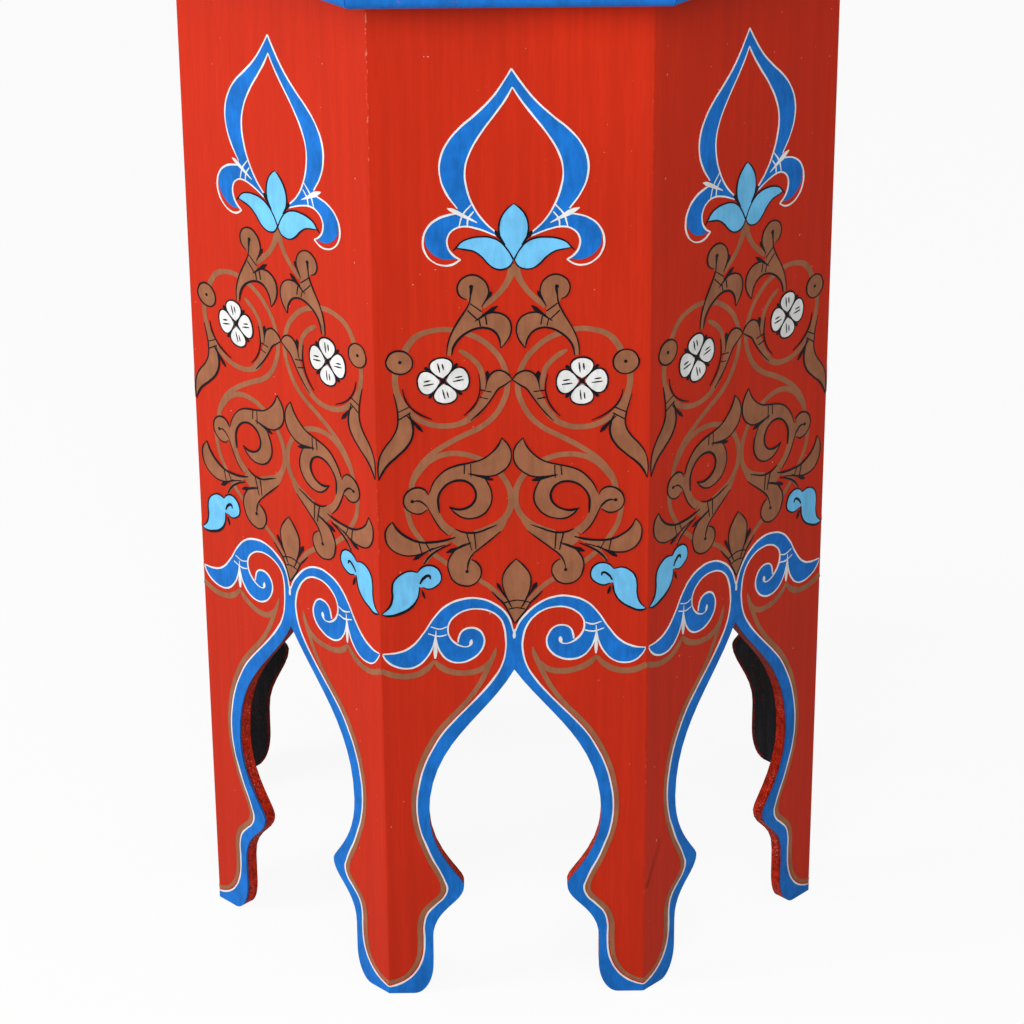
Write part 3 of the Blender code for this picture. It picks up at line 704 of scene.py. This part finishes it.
def add_tree(piece, maker, values):
    """Adds a tree, made once for all pieces, as a modifier with its inputs set by identifier."""
    if maker not in TREES:
        TREES[maker] = maker()
    tree = TREES[maker]
    modifier = piece.modifiers.new(tree.name, "NODES")
    modifier.node_group = tree
    identifiers = {item.name: item.identifier for item in tree.interface.items_tree if item.in_out == "INPUT"}
    for label, value in values.items():
        modifier[identifiers[label]] = value


def new_object(name, data):
    """An object with that data, in the scene."""
    made = bpy.data.objects.new(name, data)
    bpy.context.scene.collection.objects.link(made)
    return made


def in_metres(point):
    return point[0] * MM, point[1] * MM, 0.0


def set_knot(knot, point, corner=False):
    """Places one knot of a drawn line: smooth, a corner, or with handles of its own."""
    if not is_knot(point):
        knot.co = in_metres(point)
        knot.handle_left_type = knot.handle_right_type = "VECTOR" if corner else "AUTO"
        return
    place, before, after = point
    knot.co = in_metres(place)
    knot.handle_left_type, knot.handle_right_type = ("FREE" if handle else "VECTOR" for handle in (before, after))
    if before:
        knot.handle_left = in_metres(before)
    if after:
        knot.handle_right = in_metres(after)


def meet(first, second):
    """Whether two points of an outline lie in one place."""
    return math.dist(*(point[0] if is_knot(point) else point[:2] for point in (first, second))) < SAME_PLACE


def outline_knots(runs):
    """The knots of a closed outline made of smooth runs, as pairs of point and whether it's a corner."""
    knots = []
    for run in runs:
        for index, point in enumerate(run):
            corner = index in (0, len(run) - 1) and len(runs) > 1
            if not (knots and corner and meet(knots[-1][0], point)):
                knots.append((point, corner))
    if len(runs) > 1 and meet(knots[0][0], knots[-1][0]):
        knots.pop()
    return knots


def filled_mesh(name, runs, low, high, facets):
    """A closed film with that outline, between two levels over the board."""
    curve = bpy.data.curves.new(name, "CURVE")
    curve.dimensions = "2D"
    curve.fill_mode = "BOTH"
    curve.resolution_u = facets
    curve.extrude = (high - low) / 2
    spline = curve.splines.new("BEZIER")
    knots = outline_knots(runs)
    spline.bezier_points.add(len(knots) - 1)
    spline.use_cyclic_u = True
    for knot, (point, corner) in zip(spline.bezier_points, knots):
        set_knot(knot, point, corner)
    drawn = new_object(name, curve)
    mesh = plain_mesh(drawn)
    mesh.transform(Matrix.Translation((0.0, 0.0, (high + low) / 2)))
    bpy.data.objects.remove(drawn)
    return mesh


def plain_mesh(made):
    """The evaluated mesh of an object."""
    bpy.context.view_layer.update()
    graph = bpy.context.evaluated_depsgraph_get()
    return bpy.data.meshes.new_from_object(made.evaluated_get(graph), depsgraph=graph)


def joined(name, meshes):
    """One object out of several meshes."""
    work = bmesh.new()
    for mesh in meshes:
        work.from_mesh(mesh)
        bpy.data.meshes.remove(mesh)
    bmesh.ops.remove_doubles(work, verts=work.verts, dist=1e-7)
    bmesh.ops.recalc_face_normals(work, faces=work.faces)
    whole = bpy.data.meshes.new(name)
    work.to_mesh(whole)
    work.free()
    return new_object(name, whole)


def drawn_lines(name, strokes, taper):
    """A curve object with one smooth line for each stroke, whose radius is half the brush's width."""
    curve = bpy.data.curves.new(name, "CURVE")
    curve.dimensions = "3D"
    curve.resolution_u = LINE_FACETS
    for order, (width, points) in enumerate(strokes):
        lift = Vector((0.0, 0.0, STROKE_STEP * (order % STROKE_STEPS) * MM))
        spline = curve.splines.new("BEZIER")
        spline.bezier_points.add(len(points) - 1)
        for index, (knot, point) in enumerate(zip(spline.bezier_points, points)):
            set_knot(knot, point)
            own = width * (taper if index in (0, len(points) - 1) else 1.0)
            if len(point) > 2 and not is_knot(point):
                own = point[2]
            knot.radius = own * MM / 2
            knot.co += lift
    return new_object(name, curve)


# Where a pattern goes: its tilt and shift, the height of the arch that it keeps to, and the turn of the first copy
Place = namedtuple("Place", "tilt shift arch_top first_turn", defaults=(STEADY, 0.0))
ON_BOARDS = Place(math.pi / 2, (0.0, -FACE, 0.0), ARCH_EDGE[-1][0][1] * MM)
ON_INSIDE = Place(math.pi / 2, (0.0, FACE - BOARD_THICKNESS, 0.0))
ON_CORNERS = Place(0.0, (0.0, 0.0, 0.0), first_turn=SECTOR / 2)
ON_TOP = Place(0.0, (0.0, -TOP_HEART * MM, TABLE_TOP))
ON_TOP_CORNERS = Place(0.0, (0.0, -TOP_BUD_HEART * MM, TABLE_TOP), first_turn=SECTOR / 2)


def finish_piece(name, source, slot, place, slip=0.0, paint=None):
    """Repeats the pattern round the table, makes it a plain mesh and lets it ride."""
    brush = bpy.context.scene.table_brush
    add_tree(source, round_tree, {
        "Sides": SIDES,
        "Tilt": place.tilt,
        "Shift": place.shift,
        "First Turn": place.first_turn,
        "Drift": brush.drift,
        "Drift Scale": brush.drift_scale,
        "Slip": brush.slip * slip,
        "Slip Scale": brush.slip_scale,
        "Arch Top": place.arch_top,
        "Seed": float(brush.seed),
        "Paint": paint or bpy.data.materials[PAINTS[slot]],
    })
    mesh = plain_mesh(source)
    mesh.name = name
    for spent in ("free", "loose", "turn", "lift"):
        if spent in mesh.attributes:
            mesh.attributes.remove(mesh.attributes[spent])
    mesh.shade_flat()
    bpy.data.objects.remove(source)
    piece = new_object(name, mesh)
    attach(piece, BODY)


def film_piece(name, outlines, coat, slot, place=ON_BOARDS, facets=FILM_FACETS):
    """Flat areas of one colour."""
    levels = [COATS[coat] + FILM_STEP * (index % FILM_STEPS) for index in range(len(outlines))]
    meshes = [filled_mesh(name, runs, FILM_FLOOR * MM, level * MM, facets) for runs, level in zip(outlines, levels)]
    finish_piece(name, joined(name, meshes), slot, place)


def line_piece(name, strokes, coat, slot, place=ON_BOARDS, taper=0.45, pressure=0.5, slip=0.0, alone=(), paint=None):
    """Lines of one colour: strokes on both halves of the board, and others that stand alone."""
    halves = strokes + [(width, mirrored(points)) for width, points in strokes] + list(alone)
    source = drawn_lines(name, halves, taper)
    levels = {"Underside": FILM_FLOOR * MM, "Upper Side": COATS[coat] * MM, "Pressure": pressure}
    add_tree(source, brush_tree, levels)
    finish_piece(name, source, slot, place, slip, paint)


def flower_place(side, turn, along, aside):
    """A point given along and across a petal, on the board's right (1) or left (-1) half."""
    cosine, sine = math.cos(turn), math.sin(turn)
    return (side * FLOWER_HEART[0] + along * cosine - aside * sine,
            FLOWER_HEART[1] + along * sine + aside * cosine)


def petals():
    """Side, quarter and turn of every petal of a board's two flowers."""
    return [(side, quarter, lean + quarter * math.pi / 2)
            for side, lean in FLOWER_LEANS.items() for quarter in range(4)]


def petal_outline(side, quarter, turn):
    """One petal, from the heart to the tip and back."""
    spread = PETAL_SPREADS[quarter % 2]
    shape = PETAL_SIDE + back([(along, -aside) for along, aside in PETAL_SIDE])[1:-1]
    return [flower_place(side, turn, along, aside * spread) for along, aside in shape]


def flower_runs():
    """The black lines of both flowers: petal edges, two pen marks on each petal, and a leaf between petals."""
    runs = []
    press = PETAL_PRESS + back(PETAL_PRESS)[1:-1]
    for side, quarter, turn in petals():
        edge = [point + (own,) for point, own in zip(petal_outline(side, quarter, turn), press)]
        runs.append(edge + edge[:1])
        hand = 1 if quarter in (1, 2) else -1
        for start, end, aside in PETAL_MARKS:
            places = zip((start, (start + end) / 2, end), MARK_PRESS)
            runs.append([flower_place(side, turn, along, hand * aside + MARK_LEAN * (along - start)) + (own,)
                         for along, own in places])
        between = turn + PETAL_LEAF_TURNS[quarter % 2]
        runs.append([flower_place(side, between, along, 0) + (own,) for along, own in PETAL_LEAF])
    return runs


def brown_leaf_outlines():
    """The outlines of the brown leaves and discs, each as its runs."""
    over = [OVER_BACK, OVER_HEAD, OVER_HOOK, OVER_INSIDE]
    meeting = [MEET_TOP, [(12.6, 339), (14.4, 335), (16.8, 330), (20.5, 325.4)], back(MEET_LOW)]
    corner = [CORNER_OUTER, back(CORNER_INNER), [(48.4, 326), (51, 331), (55.7, 336)]]
    scroll = [CREST_TOP, [(39.8, 284.3), (41, 280), (40.9, 276.4)], RING_OUTER, [(32, 262.3), (28, 265)],
              back(CRESCENT_INNER), back(CRESCENT_OUTER), back(CREST_FRONT)]
    hook = [HOOK_OUTER, [(33.5, 257.4), (28.5, 261.2)], back(HOOK_INNER)]
    curl = [[(2.9, 274), (5.2, 270.6), (8.2, 267.6)], JOINT_TOP,
            [(28.3, 265.4), (31, 260.5), (28.5, 257), (26.8, 256.2)], CURL_RIGHT[1:],
            [(21.6, 249.4), (21.1, 251.6)], back(CURL_LEFT), [(6.6, 264.3), (4.6, 267.2), (3.2, 270.4), (2.9, 274)]]
    loop = [LOOP_EDGE + [(39.8, 279.4)]]
    knob = [circle(KNOB_HEART, KNOB_RADIUS)]
    return both_halves([over, meeting, corner, scroll, hook, curl, loop, knob]) + [bud_outline()]


def bud_outline():
    """The bud and the cup that it stands in."""
    return across([BUD_SIDE, [BUD_SIDE[-1], (5.4, 227.3), CUP_SIDE[0]], CUP_SIDE])


def wave_outline():
    """The blue wave and the band that follows the arch down to the feet."""
    return across([WAVE_TOP, WAVE_LOBE, VOLUTE, WAVE_UNDER, [(HALF, 4), (HALF, 0)], ARCH_EDGE])


def ogee_outline():
    """The blue ogee with its curls."""
    return across([OGEE_OUTER, CURL_BLUE, [(26.2, 405.2)] + CURL_INNER[1:], OGEE_INNER])


def lotus_outlines():
    """The three petals of the lotus."""
    return [across([LOTUS_MIDDLE])] + both_halves([[LOTUS_UPPER, LOTUS_LOWER]])


def of_width(width, runs):
    """Brush strokes along those runs."""
    return [(width, run) for run in runs]


def leaf_strokes(width):
    """The black outlines of the brown leaves, scrolls and buds on one half of a board."""
    ring = circle(KNOB_HEART, KNOB_RADIUS)
    plain = [OVER_BACK + OVER_SPIRAL, OVER_HEAD, OVER_HOOK, MEET_TOP, MEET_LOW, MEET_EDGE, CORNER_OUTER,
             CORNER_SHOULDER, CREST_TOP, CREST_FRONT + CREST_FOLD, CRESCENT_OUTER, RING_OUTER, LOOP_EDGE,
             LOOP_SPIRAL, HOOK_OUTER, JOINT_TOP, CURL_LEFT + CURL_SPIRAL, CURL_RIGHT, BUD_SIDE + BUD_ROOT,
             CUP_LINE, ring + ring[:2]]
    strong = [OVER_INSIDE, CRESCENT_INNER[:-3] + [(35.7, 273.8)], CORNER_INNER, HOOK_INNER]
    return of_width(width, plain) + of_width(width * STRONG_LINE, strong)


def petal_strokes(width):
    """The black outlines of the light blue lotus and leaf."""
    lotus = [LOTUS_LOWER, LOTUS_UPPER + [(28.6, 408.9)], LOTUS_MIDDLE]
    return of_width(width, [BLUE_HEAD, BLUE_INNER, BLUE_OUTER] + lotus)


def mark_strokes(width):
    """The short black marks: ties, fine lines and thorns."""
    ties = [[point + (TIE_WIDTH,) for point in run] for run in BLACK_TIES]
    thorns = [thorn(*ends) for ends in THORNS]
    return of_width(width, CUP_TIES + ties) + of_width(width * FINE_LINE, FINE_LINES) + thorns


def thorn(thick, thin):
    """A tapered mark, thick near its first end."""
    return 1.0, [(thick[0] + (thin[0] - thick[0]) * share, thick[1] + (thin[1] - thick[1]) * share, width)
                 for share, width in THORN_WIDTHS]


def border_line(name):
    """Half of a straight line along one side of the top."""
    width, reach = TOP_LINES[name]
    return width, [(0, TOP_HEART - reach), (reach * math.tan(SECTOR / 2), TOP_HEART - reach)]


def ring_line(name):
    """Half of one side's share of a ring round the top's middle."""
    width, radius = TOP_LINES[name]
    turns = [SECTOR / 2 * share / 3 for share in range(4)]
    return width, [(radius * math.sin(turn), TOP_HEART - radius * math.cos(turn)) for turn in turns]


def paint_property(name, description, *colour):
    """A paint that a user may change."""
    return FloatVectorProperty(name=name, description=description, subtype="COLOR", size=4, default=colour + (1.0,))


class TableColours(bpy.types.PropertyGroup):
    """The paints."""

    red: paint_property("Red", "Paint of the boards and the top", 0.555, 0.0252, 0.0068)
    red_worn: paint_property("Worn red", "Where the red is rubbed thin", 0.64, 0.11, 0.075)
    brown: paint_property("Brown", "Stems and leaves", 0.33, 0.128, 0.0625)
    blue: paint_property("Blue", "Bands and ogees", 0.011, 0.163, 0.575)
    light_blue: paint_property("Light blue", "Lotus and corner leaves", 0.17, 0.555, 0.91)
    white: paint_property("White", "Flowers and lines", 0.82, 0.82, 0.805)
    black: paint_property("Black", "Outlines", 0.005, 0.005, 0.008)
    inside: paint_property("Inside black", "Coat inside the table", 0.012, 0.011, 0.013)


class TableBrush(bpy.types.PropertyGroup):
    """How the ornament is laid on."""

    white_width: FloatProperty(
        name="White line", description="Width of the white lines, in millimetres", default=0.82, min=0.2)
    black_width: FloatProperty(
        name="Black line", description="Width of the black lines, in millimetres", default=0.73, min=0.2)
    drift: FloatProperty(
        name="Drift", description="How far the hand wanders from the pattern", default=0.009, unit="LENGTH")
    drift_scale: FloatProperty(
        name="Drift scale", description="How quickly it wanders, in waves per metre", default=7.5)
    slip: FloatProperty(
        name="Slip", description="How far the outlines slip off their fills", default=0.0016, unit="LENGTH")
    slip_scale: FloatProperty(
        name="Slip scale", description="How quickly they slip, in waves per metre", default=38.0)
    seed: IntProperty(name="Seed", description="Which wandering the hand makes", default=653)


class TABLE_OT_boards(bpy.types.Operator):
    """Paints the boards, the top, its edge strips, the inside and the fastenings."""

    bl_idname = "table.boards"
    bl_label = "Paint the boards"

    def execute(self, context):
        colours = context.scene.table_colours
        finishes = {
            "side_panel": board_finish(colours),
            "corner_block": inside_finish(colours),
            "top_board": top_finish(colours),
            "top_edge_strip": coat_finish("Blue edge paint", colours.blue, worn=colours.red),
            "top_screw": steel_finish(),
        }
        finishes["top_cleat"] = finishes["corner_block"]
        finishes["cleat_brad"] = finishes["top_screw"]
        for name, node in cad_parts.items():
            kind = next(kind for kind in finishes if name.startswith(kind))
            if not node.material_slots:
                node.data.materials.append(finishes[kind])
            for slot in node.material_slots:
                slot.material = finishes[kind]
        return {"FINISHED"}


class TABLE_OT_seams(bpy.types.Operator):
    """Lays the red paint that closes and rounds each corner, and what it left on the arches' inner rims."""

    bl_idname = "table.seams"
    bl_label = "Corner seams and inner rims"

    def execute(self, context):
        corner = FACE / math.cos(SECTOR / 2) / MM
        level, rise = math.cos(SECTOR / 2), math.sin(SECTOR / 2)

        def beside(reach, lift):
            return reach * level + lift * rise, -corner + reach * rise - lift * level

        outer = [(0, -corner - SEAM_CREST)] + [beside(*step) for step in SEAM_STEPS]
        inner = [(0, -corner - FILM_FLOOR), beside(SEAM_STEPS[-1][0], FILM_FLOOR)]
        runs = [mirrored(back(outer)) + outer[1:], [outer[-1], inner[1]], back(inner), mirrored(inner),
                mirrored([inner[1], outer[-1]])]
        source = joined("corner_seams", [filled_mesh("corner_seams", runs, 0.0, BOARD_HEIGHT, FILM_FACETS)])
        finish_piece("corner_seams", source, "red_panel_paint", ON_CORNERS)

        rim = [tuple(point and (point[0] + right, point[1] + up) for point in knot)
               for knot, (right, up) in zip(ARCH_EDGE, RIM_SHIFTS)]
        paint = rim_finish(context.scene.table_colours)
        line_piece("inner_rims", [(RIM_WIDTH, rim)], "rims", "red_panel_paint", ON_INSIDE, 1.0, 0.7, paint=paint)
        return {"FINISHED"}


class TABLE_OT_stems(bpy.types.Operator):
    """Brown stems and rings, and the brown line along the arch."""

    bl_idname = "table.stems"
    bl_label = "Brown stems"

    def execute(self, context):
        coat_finish(PAINTS["brown_paint"], context.scene.table_colours.brown)
        line_piece("brown_stems", STEMS, "stems", "brown_paint", taper=1.0, pressure=0.2)
        return {"FINISHED"}


class TABLE_OT_leaves(bpy.types.Operator):
    """Brown leaves, scrolls and buds."""

    bl_idname = "table.leaves"
    bl_label = "Brown leaves"

    def execute(self, context):
        film_piece("brown_leaves", brown_leaf_outlines(), "leaves", "brown_paint")
        return {"FINISHED"}


class TABLE_OT_bands(bpy.types.Operator):
    """Blue ogees, waves and arch bands."""

    bl_idname = "table.bands"
    bl_label = "Blue bands"

    def execute(self, context):
        coat_finish(PAINTS["blue_edge_paint"], context.scene.table_colours.blue, 0.21)
        film_piece("blue_bands", [wave_outline(), ogee_outline()], "bands", "blue_edge_paint", facets=2 * FILM_FACETS)
        return {"FINISHED"}


class TABLE_OT_petals(bpy.types.Operator):
    """Light blue lotus petals and corner leaves."""

    bl_idname = "table.petals"
    bl_label = "Light blue petals"

    def execute(self, context):
        coat_finish(PAINTS["light_blue_paint"], context.scene.table_colours.light_blue, 0.13)
        leaves = both_halves([[BLUE_HEAD, BLUE_INNER, BLUE_OUTER]])
        film_piece("light_blue_petals", lotus_outlines() + leaves, "petals", "light_blue_paint")
        return {"FINISHED"}


class TABLE_OT_flowers(bpy.types.Operator):
    """White flowers of four petals."""

    bl_idname = "table.flowers"
    bl_label = "White flowers"

    def execute(self, context):
        coat_finish(PAINTS["white_paint"], context.scene.table_colours.white, 0.13)
        film_piece("white_flowers", [[petal_outline(*petal)] for petal in petals()], "flowers", "white_paint")
        return {"FINISHED"}


class TABLE_OT_white_lines(bpy.types.Operator):
    """White outlines of the blue, with their ties and drops."""

    bl_idname = "table.white_lines"
    bl_label = "White lines"

    def execute(self, context):
        runs = OGEE_LINES + [WAVE_TOP, WAVE_LOBE, VOLUTE, WAVE_SPIRAL + WAVE_UNDER[1:]]
        strokes = of_width(context.scene.table_brush.white_width, runs)
        strokes += OGEE_TIES + WAVE_TIES + [OGEE_DROP, LOBE_DROP]
        line_piece("white_lines", strokes, "white", "white_paint", ON_BOARDS, 0.7, 1.6, 0.35, [WAVE_DROP])
        return {"FINISHED"}


class TABLE_OT_black_lines(bpy.types.Operator):
    """Black outlines, thorns, ties and dots."""

    bl_idname = "table.black_lines"
    bl_label = "Black lines"

    def execute(self, context):
        slot = "black_line_paint"
        coat_finish(PAINTS[slot], context.scene.table_colours.black, 0.3)
        width = context.scene.table_brush.black_width
        for name, strokes in (("black_lines", leaf_strokes(width)), ("petal_lines", petal_strokes(width)),
                              ("black_marks", mark_strokes(width))):
            line_piece(name, strokes, "black", slot, pressure=1.6, slip=1.0)
        flowers = of_width(width, flower_runs())
        line_piece("flower_lines", [], "black", slot, pressure=1.0, slip=0.4, alone=flowers)
        dots = both_halves([[circle(heart, radius)] for radius, heart in BLACK_DOTS])
        film_piece("black_dots", dots, "dots", slot)
        return {"FINISHED"}


class TABLE_OT_top(bpy.types.Operator):
    """The top's ornament: a rosette, ogees that point to it, buds in the corners and a border."""

    bl_idname = "table.top"
    bl_label = "Ornament of the top"

    def execute(self, context):
        brush = context.scene.table_brush
        heart = circle((0, TOP_HEART - HEART_DOT[0]), HEART_DOT[1])
        film_piece("top_ogees", [ogee_outline()], "bands", "blue_edge_paint", ON_TOP)
        film_piece("top_lotus", lotus_outlines(), "petals", "light_blue_paint", ON_TOP)
        film_piece("top_rosette", [across([ROSETTE_PETAL])], "flowers", "white_paint", ON_TOP)
        film_piece("top_heart", [[heart]], "dots", "brown_paint", ON_TOP)
        film_piece("top_buds", [bud_outline()], "leaves", "brown_paint", ON_TOP_CORNERS)

        brown = [border_line("brown"), ring_line("ring")]
        line_piece("top_brown_lines", brown, "stems", "brown_paint", ON_TOP, 1.0)
        white = of_width(brush.white_width, OGEE_LINES) + OGEE_TIES + [OGEE_DROP, border_line("white")]
        line_piece("top_white_lines", white, "white", "white_paint", ON_TOP, 0.8)
        pen = of_width(brush.black_width, [LOTUS_LOWER, LOTUS_UPPER, LOTUS_MIDDLE, ROSETTE_PETAL, ROSETTE_LEAF])
        pen += [ROSETTE_MARK, thorn(*LOTUS_THORN)]
        line_piece("top_black_lines", pen, "black", "black_line_paint", ON_TOP, 0.6)
        pen = of_width(brush.black_width, [BUD_SIDE + BUD_ROOT, CUP_SIDE] + CUP_TIES) + [thorn(*BUD_THORN)]
        line_piece("top_bud_lines", pen, "black", "black_line_paint", ON_TOP_CORNERS, 0.6)
        return {"FINISHED"}


class TABLE_OT_stage(bpy.types.Operator):
    """Sets the floor, the light and the camera."""

    bl_idname = "table.stage"
    bl_label = "Stage"

    def execute(self, context):
        context.scene.view_settings.view_transform = "Standard"
        context.scene.camera = self.make_camera()
        context.scene.world = self.make_world()
        self.make_floor()
        for lamp in LAMPS:
            self.make_lamp(*lamp)
        return {"FINISHED"}

    def make_camera(self):
        """The photograph's viewpoint."""
        pitch, yaw, roll = (math.radians(angle) for angle in CAMERA_ANGLES)
        ahead = Vector((math.sin(yaw) * math.cos(pitch), math.cos(yaw) * math.cos(pitch), -math.sin(pitch)))
        right = Vector((math.cos(yaw), -math.sin(yaw), 0.0))
        up = right.cross(ahead)
        across_view = right * math.cos(roll) + up * math.sin(roll)
        up_view = up * math.cos(roll) - right * math.sin(roll)
        turn = Matrix((across_view, up_view, -ahead)).transposed().to_4x4()
        data = bpy.data.cameras.new("Camera")
        data.sensor_width = SENSOR
        data.lens = SENSOR * FOCUS_PIXELS / FRAME_PIXELS
        camera = new_object("Camera", data)
        camera.matrix_world = Matrix.Translation(CAMERA_PLACE) @ turn
        return camera

    def make_floor(self):
        """A wide white floor that shows the table's shadow."""
        finish = Finish("Studio floor")
        seen = finish.seen()
        paper = finish.grain(3.0)
        colour = finish.blend(paper, (0.94, 0.94, 0.94, 1.0), (0.96, 0.96, 0.96, 1.0))
        colour = finish.blend(seen, (0.55, 0.55, 0.55, 1.0), colour)
        matte = finish.node("ShaderNodeBsdfPrincipled", {"Base Color": colour, "Roughness": 0.9})
        glow = finish.node("ShaderNodeEmission", {"Color": WHITE_LIGHT, "Strength": 1.0})
        mixed = finish.node("ShaderNodeMixShader", {0: seen * FLOOR_GLOW, 1: matte, 2: glow})
        finish.node("ShaderNodeOutputMaterial", {"Surface": mixed})
        mesh = bpy.data.meshes.new("floor")
        signs = ((-1, -1), (1, -1), (1, 1), (-1, 1))
        mesh.from_pydata([(x * FLOOR_REACH, y * FLOOR_REACH, 0.0) for x, y in signs], [], [(0, 1, 2, 3)])
        mesh.materials.append(finish.material)
        new_object("floor", mesh)

    def make_world(self):
        """White round the table for the camera, softer as light."""
        world = bpy.data.worlds.new("Studio")
        world.use_nodes = True
        world.node_tree.nodes.clear()
        graph = Graph(world.node_tree)
        strength = WORLD_LIGHT + graph.seen() * (1.0 - WORLD_LIGHT)
        sky = graph.node("ShaderNodeBackground", {"Color": WHITE_LIGHT, "Strength": strength})
        graph.node("ShaderNodeOutputWorld", {"Surface": sky})
        return world

    def make_lamp(self, name, place, target, size, power):
        """A round soft lamp that shines on its target."""
        data = bpy.data.lights.new(name, "AREA")
        data.shape = "DISK"
        data.size = size
        data.energy = power
        aim = (Vector(target) - Vector(place)).to_track_quat("-Z", "Y")
        new_object(name, data).matrix_world = Matrix.Translation(place) @ aim.to_matrix().to_4x4()


PIECE_OPERATORS = (TABLE_OT_boards, TABLE_OT_seams, TABLE_OT_stems, TABLE_OT_leaves, TABLE_OT_bands, TABLE_OT_petals,
                   TABLE_OT_flowers, TABLE_OT_white_lines, TABLE_OT_black_lines, TABLE_OT_top, TABLE_OT_stage)


class TABLE_PT_sidebar(bpy.types.Panel):
    """Lists the table's paints, brush and steps."""

    bl_idname = "TABLE_PT_sidebar"
    bl_label = "Painted side table"
    bl_space_type = "VIEW_3D"
    bl_region_type = "UI"
    bl_category = "Side table"

    def draw(self, context):
        for group in (context.scene.table_colours, context.scene.table_brush):
            box = self.layout.box()
            for name in group.__annotations__:
                box.prop(group, name)
        for step in PIECE_OPERATORS:
            self.layout.operator(step.bl_idname)


CLASSES = (TableColours, TableBrush) + PIECE_OPERATORS + (TABLE_PT_sidebar,)


def register():
    for each in CLASSES:
        bpy.utils.register_class(each)
    bpy.types.Scene.table_colours = PointerProperty(type=TableColours)
    bpy.types.Scene.table_brush = PointerProperty(type=TableBrush)


def unregister():
    del bpy.types.Scene.table_brush
    del bpy.types.Scene.table_colours
    for each in reversed(CLASSES):
        bpy.utils.unregister_class(each)


def main():
    register()
    for step in PIECE_OPERATORS:
        family, name = step.bl_idname.split(".")
        getattr(getattr(bpy.ops, family), name)()


if __name__ == "__main__":
    main()
